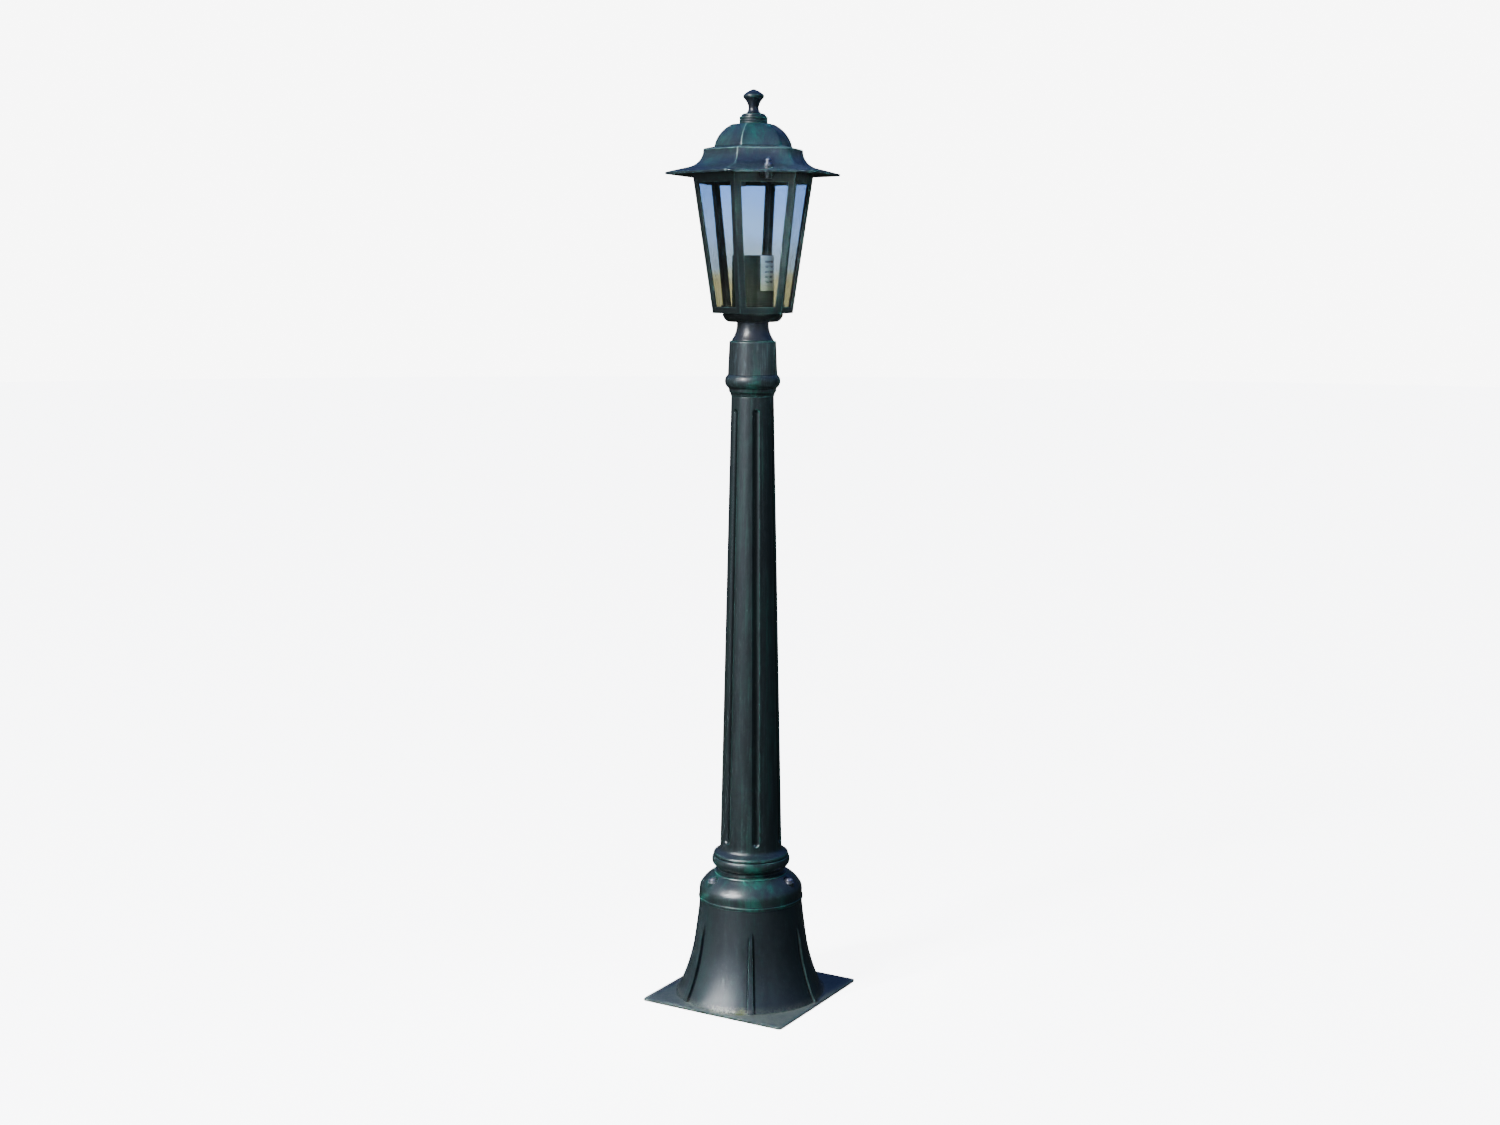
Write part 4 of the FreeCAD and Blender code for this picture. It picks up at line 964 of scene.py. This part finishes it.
def roof_half(inset):
    """Half section of the roof from the top of the dome to the eave, moved inward by inset."""
    slope_flat, slope_level = 63.9 - inset * 0.28, 964.1 - inset * 0.96
    return [
        (21.2 - inset * 0.6, ROOF_TOP - inset),
        (39.4 - inset, 986.5 - inset * 0.8, inset - 35),
        (48.8 - inset, 984.4 - inset * 0.8),
        (50.3 - inset, 983.4 - inset * 0.8),
        (50.3 - inset, 982 - inset * 0.4),
        (slope_flat, slope_level, 19 + inset),
        (EAVE_FLAT, slope_level - (EAVE_FLAT - slope_flat) * 0.26),
    ]


def make_roof():
    """The roof's sheet, dome and skirt in one, and the pads for its cap nuts."""
    inner = roof_half(ROOF_WALL)
    inner[-1] = (EAVE_FLAT - 2.6, EAVE)
    corners = [(3, ROOF_TOP)] + roof_half(0.0) + [(EAVE_FLAT, EAVE)] + reversed_outline(inner)
    corners.append((3, ROOF_TOP - ROOF_WALL))
    # This outline runs clockwise, which turns its relief round. The ledge's edge gets a bright painted
    # highlight line.
    rows = []
    for r, z, relief in outline(corners, 0.45, 2.5):
        on_ledge = 49.2 < r < 50.6 and 982.9 < z < 984.4
        rows.append((r, z, LEDGE_HIGHLIGHT if on_ledge else -relief))
    rings = lathe_rings(rows, hex_turns(), hex_shape)
    new_piece("roof_casting", *weave(rings, True), roof_paint, "roof", "roof_paint", ("roof_shell",))
    for k in range(2):
        make_boss(k)


def reversed_outline(corners):
    """The same outline walked the other way: each arc's bend moves to its other end."""
    back = []
    for i in range(len(corners) - 1, -1, -1):
        led_by = corners[i + 1] if i + 1 < len(corners) else ()
        bend = (-led_by[2],) if len(led_by) == 3 else ()
        back.append((*corners[i][:2], *bend))
    return back


def on_stud(k, rings):
    """The rings moved from the post's axis to the axis of stud k."""
    turn = math.radians(LANTERN_TURN + 180 * k)
    x, y = STUD_RING * math.cos(turn), STUD_RING * math.sin(turn)
    return [[(p[0] + x, p[1] + y, p[2], p[3]) for p in ring] for ring in rings]


BOSS_BORE, BOSS_RADIUS, BOSS_FOOT, BOSS_TOP = 3.2, 6.0, 956.6, 961.2


def make_boss(k):
    """The small round pad that a cap nut sits on."""
    corners = [
        (BOSS_BORE, BOSS_FOOT),
        (BOSS_RADIUS, BOSS_FOOT),
        (BOSS_RADIUS, BOSS_TOP),
        (BOSS_BORE, BOSS_TOP),
    ]
    rings = on_stud(k, lathe_rings(outline(corners, 0.35, 2.0), even_turns(48)))
    new_piece(f"roof_boss_{k + 1}", *weave(rings, True), roof_paint, "roof", "roof_paint")


def make_finial():
    """The finial, with three reeds at its foot and a flared head."""
    corners = [
        (0, ROOF_TOP),
        (15.3, ROOF_TOP),
        (16.0, 1012.4, 1.0),
        (15.9, 1013.8),
        (15.3, 1014.3),
        (15.9, 1014.8),
        (15.9, 1016.6),
        (15.3, 1017.2),
        (15.9, 1017.8),
        (15.4, 1019.8, 2.6),
        (13.8, 1020.4),
        (13.5, 1021.6),
        (12.0, 1022.9, 1.9),
        (8.2, 1023.8),
        (5.8, 1029.5, -8.5),
        (11.1, 1040.1, -18),
        (10.6, 1044.5, 3),
        (3, 1049.1, 24),
        (0, 1050, 5.45),
    ]
    lathe("finial_casting", corners, finial_paint, "roof", "finial_paint", ("finial",), count=96, soft=0.35,
          step=1.2, closed=False)


NUT_BORE, NUT_FLAT = 2.56, 4.75


def nut_flats(angles, radius, z, relief):
    """Six spanner flats round the nut's wide foot."""
    return np.minimum(radius, NUT_FLAT / np.cos(off_centre(angles, 0, 60))), relief


def make_cap_nuts():
    """Cap nuts with a wide foot, a waist and a ball on top, on the roof's two pads."""
    for k in range(2):
        node = f"cap_nut_{k + 1}"
        low, high = box_mm(node)
        seat, top = low[2], high[2]
        corners = [
            (0, seat + 6.6),
            (NUT_BORE, seat + 6.2),
            (NUT_BORE, seat),
            (4.7, seat),
            (5.4, seat + 1.3, 1.6),
            (4.4, seat + 3.8, 3.2),
            (3.1, seat + 4.6),
            (3.1, seat + 5.4),
            (3.6, seat + 7.2, 2.4),
            (0, top, 3.9),
        ]
        rings = on_stud(k, lathe_rings(outline(corners, 0.3, 0.8, False), even_turns(48), nut_flats))
        new_piece(f"domed_nut_{k + 1}", *weave(rings, False), bright_steel, node, "bright_steel", (node,))


# ------------------------------------------------------------------ CAD nodes that stay


def dress(material, *names, bevel=0.25):
    """Give carried-over CAD nodes their material and soft edges."""
    for name in names:
        node = nodes[name]
        node.data.materials.clear()
        node.data.materials.append(material)
        if bevel:
            rounded = node.modifiers.new("edges", "BEVEL")
            rounded.width, rounded.segments = bevel * MM, 2
            rounded.limit_method, rounded.angle_limit = "ANGLE", math.radians(40)
            rounded.harden_normals = False


make_base()
make_post()
make_collar()
make_stem_and_dish()
make_cage()
make_sleeve()
make_roof()
make_finial()
make_cap_nuts()

dress(stained_steel, "base_screws", "base_washers")
dress(zinc_steel, "terminal_bracket", "stem_nipple", "nipple_nut_top",
      "nipple_nut_bottom", "lampholder_bracket", "finial_washer", "finial_screw")
dress(dark_steel, "collar_grub_screws", "roof_studs")
dress(spring_steel, "pane_clips", bevel=0.15)
dress(brass, "terminal_screws", "earth_screw", "screw_shell", "centre_contact", bevel=0.1)
dress(black_plastic, "lampholder_body")
dress(pale_plastic, "terminal_block")
dress(rubber, "floor_gasket", bevel=0.15)
dress(blank_label(), "rating_label", bevel=0)
panes = [f"glass_pane_{k + 1}" for k in range(SIDES)]
dress(glass, *panes)
for pane in panes:
    nodes[pane].visible_shadow = False

# ------------------------------------------------------------------ stage, lights and camera


# The camera stands at TURN degrees to the right of -Y; its dip, aside and roll are in degrees too.
CAMERA_TURN, CAMERA_REACH, CAMERA_RISE = 30.0, 2.3, 0.85
CAMERA_DIP, CAMERA_ASIDE, CAMERA_ROLL, CAMERA_LENS = 8.266, 0.057, 0.2, 48.31
FLOOR_RADIUS, FLOOR_GLOW, ROOM_WHITE = 14.0, 7.2, (8.0, 8.0, 8.0, 1)


def round_post(turn, reach, rise):
    """A point round the post: turn in degrees to the right of the camera's side."""
    angle = math.radians(CAMERA_TURN + turn)
    return (reach * math.sin(angle), -reach * math.cos(angle), rise)


def make_stage():
    """A wide pale floor that glows, so that it is nearly as white as the room behind it."""
    bm = bmesh.new()
    bmesh.ops.create_circle(bm, cap_ends=True, segments=96, radius=FLOOR_RADIUS)
    mesh = bpy.data.meshes.new("floor")
    bm.to_mesh(mesh)
    bm.free()
    floor = bpy.data.objects.new("floor", mesh)
    scene.collection.objects.link(floor)
    g = Graph("pale_floor")
    tone = g.mix(g.ramp(g.noise(3, 3.0), 0.3, 0.7), (0.86, 0.86, 0.86, 1), (0.89, 0.89, 0.89, 1))
    mesh.materials.append(g.finish(Base_Color=tone, Roughness=0.9, Specular_IOR_Level=0.1,
                                   Emission_Color=(1, 1, 1, 1), Emission_Strength=FLOOR_GLOW))
    floor.visible_glossy = floor.visible_diffuse = False


def make_world():
    """A white studio; polished faces see a dim room under a blue sky, brighter to the front left."""
    scene.world = bpy.data.worlds.new("studio")
    w = Tree(scene.world)
    direction = w.node("ShaderNodeTexCoord").outputs["Generated"]
    split = w.node("ShaderNodeSeparateXYZ")
    w.link(direction, split.inputs[0])
    rise = split.outputs[2]
    leftward = w.node("ShaderNodeVectorMath", operation="DOT_PRODUCT")
    w.link(direction, leftward.inputs[0])
    leftward.inputs[1].default_value = Vector(round_post(-58, 1.0, 0.25)).normalized()
    lit = w.ramp(leftward.outputs["Value"], -0.35, 0.95)
    above = w.ramp(rise, 0.10, 0.65)
    below = w.ramp(rise, -0.12, 0.04)
    shade = w.mix(above, (0.035, 0.045, 0.052, 1), (0.05, 0.10, 0.42, 1))
    bright = w.mix(above, (0.28, 0.34, 0.40, 1), (0.28, 0.42, 0.80, 1))
    ground = w.mix(lit, (0.022, 0.027, 0.025, 1), (0.11, 0.13, 0.13, 1))
    sky = w.mix(below, ground, w.mix(lit, shade, bright))
    seen = w.mix(w.node("ShaderNodeLightPath").outputs["Is Camera Ray"], sky, ROOM_WHITE)
    w.link(seen, w.tree.nodes["Background"].inputs["Color"])


def add_light(name, place, aim, width, height, power, colour, mirrored=True, spread=180):
    """An area light, spread in degrees; one that isn't mirrored adds no highlight."""
    light = bpy.data.lights.new(name, "AREA")
    light.shape, light.size, light.size_y = "RECTANGLE", width, height
    light.energy, light.color = power, colour
    light.spread = math.radians(spread)
    lamp = bpy.data.objects.new(name, light)
    lamp.location = place
    lamp.rotation_euler = (Vector(aim) - Vector(place)).to_track_quat("-Z", "Y").to_euler()
    lamp.visible_glossy = mirrored
    scene.collection.objects.link(lamp)


def make_lights():
    """A key and its glint from the upper left, soft side and fill lights, and two narrow ones."""
    middle = (0, 0, 0.55)
    add_light("key", round_post(-46, 2.9, 2.9), middle, 0.4, 0.4, 150, (1.0, 0.98, 0.95))
    add_light("glint", round_post(-43, 2.7, 1.8), middle, 0.5, 0.5, 30, (0.95, 0.97, 1.0))
    add_light("side", round_post(-46, 2.6, 0.9), middle, 2.2, 1.8, 15, (0.68, 0.82, 1.0))
    add_light("fill", round_post(48, 1.6, 1.1), middle, 1.0, 1.0, 13, (0.95, 1.0, 1.0), mirrored=False)
    add_light("lantern_fill", round_post(28, 1.5, 0.98), (0, 0, 0.88), 0.2, 0.2, 0.78, (0.86, 0.94, 1.0),
              mirrored=False, spread=10)
    add_light("foot_glint", round_post(-56, 2.7, 1.75), (0, 0, 0.0), 0.4, 0.4, 0.95, (0.95, 0.97, 1.0),
              spread=10)


def make_camera():
    """The camera looks level along its turn, then dips, then leans aside."""
    data = bpy.data.cameras.new("camera")
    data.sensor_width, data.lens = 36.0, CAMERA_LENS
    data.clip_start, data.clip_end = 0.05, 100
    camera = bpy.data.objects.new("camera", data)
    camera.location = round_post(0, CAMERA_REACH, CAMERA_RISE)
    level = Matrix.Rotation(math.radians(CAMERA_TURN), 4, "Z")
    dip = Matrix.Rotation(math.radians(90 - CAMERA_DIP), 4, "X")
    roll = Matrix.Rotation(math.radians(CAMERA_ROLL), 4, "Z")
    aside = Matrix.Rotation(math.radians(CAMERA_ASIDE), 4, "Z")
    camera.rotation_euler = (aside @ level @ dip @ roll).to_euler()
    scene.collection.objects.link(camera)
    scene.camera = camera


make_stage()
make_world()
make_lights()
make_camera()
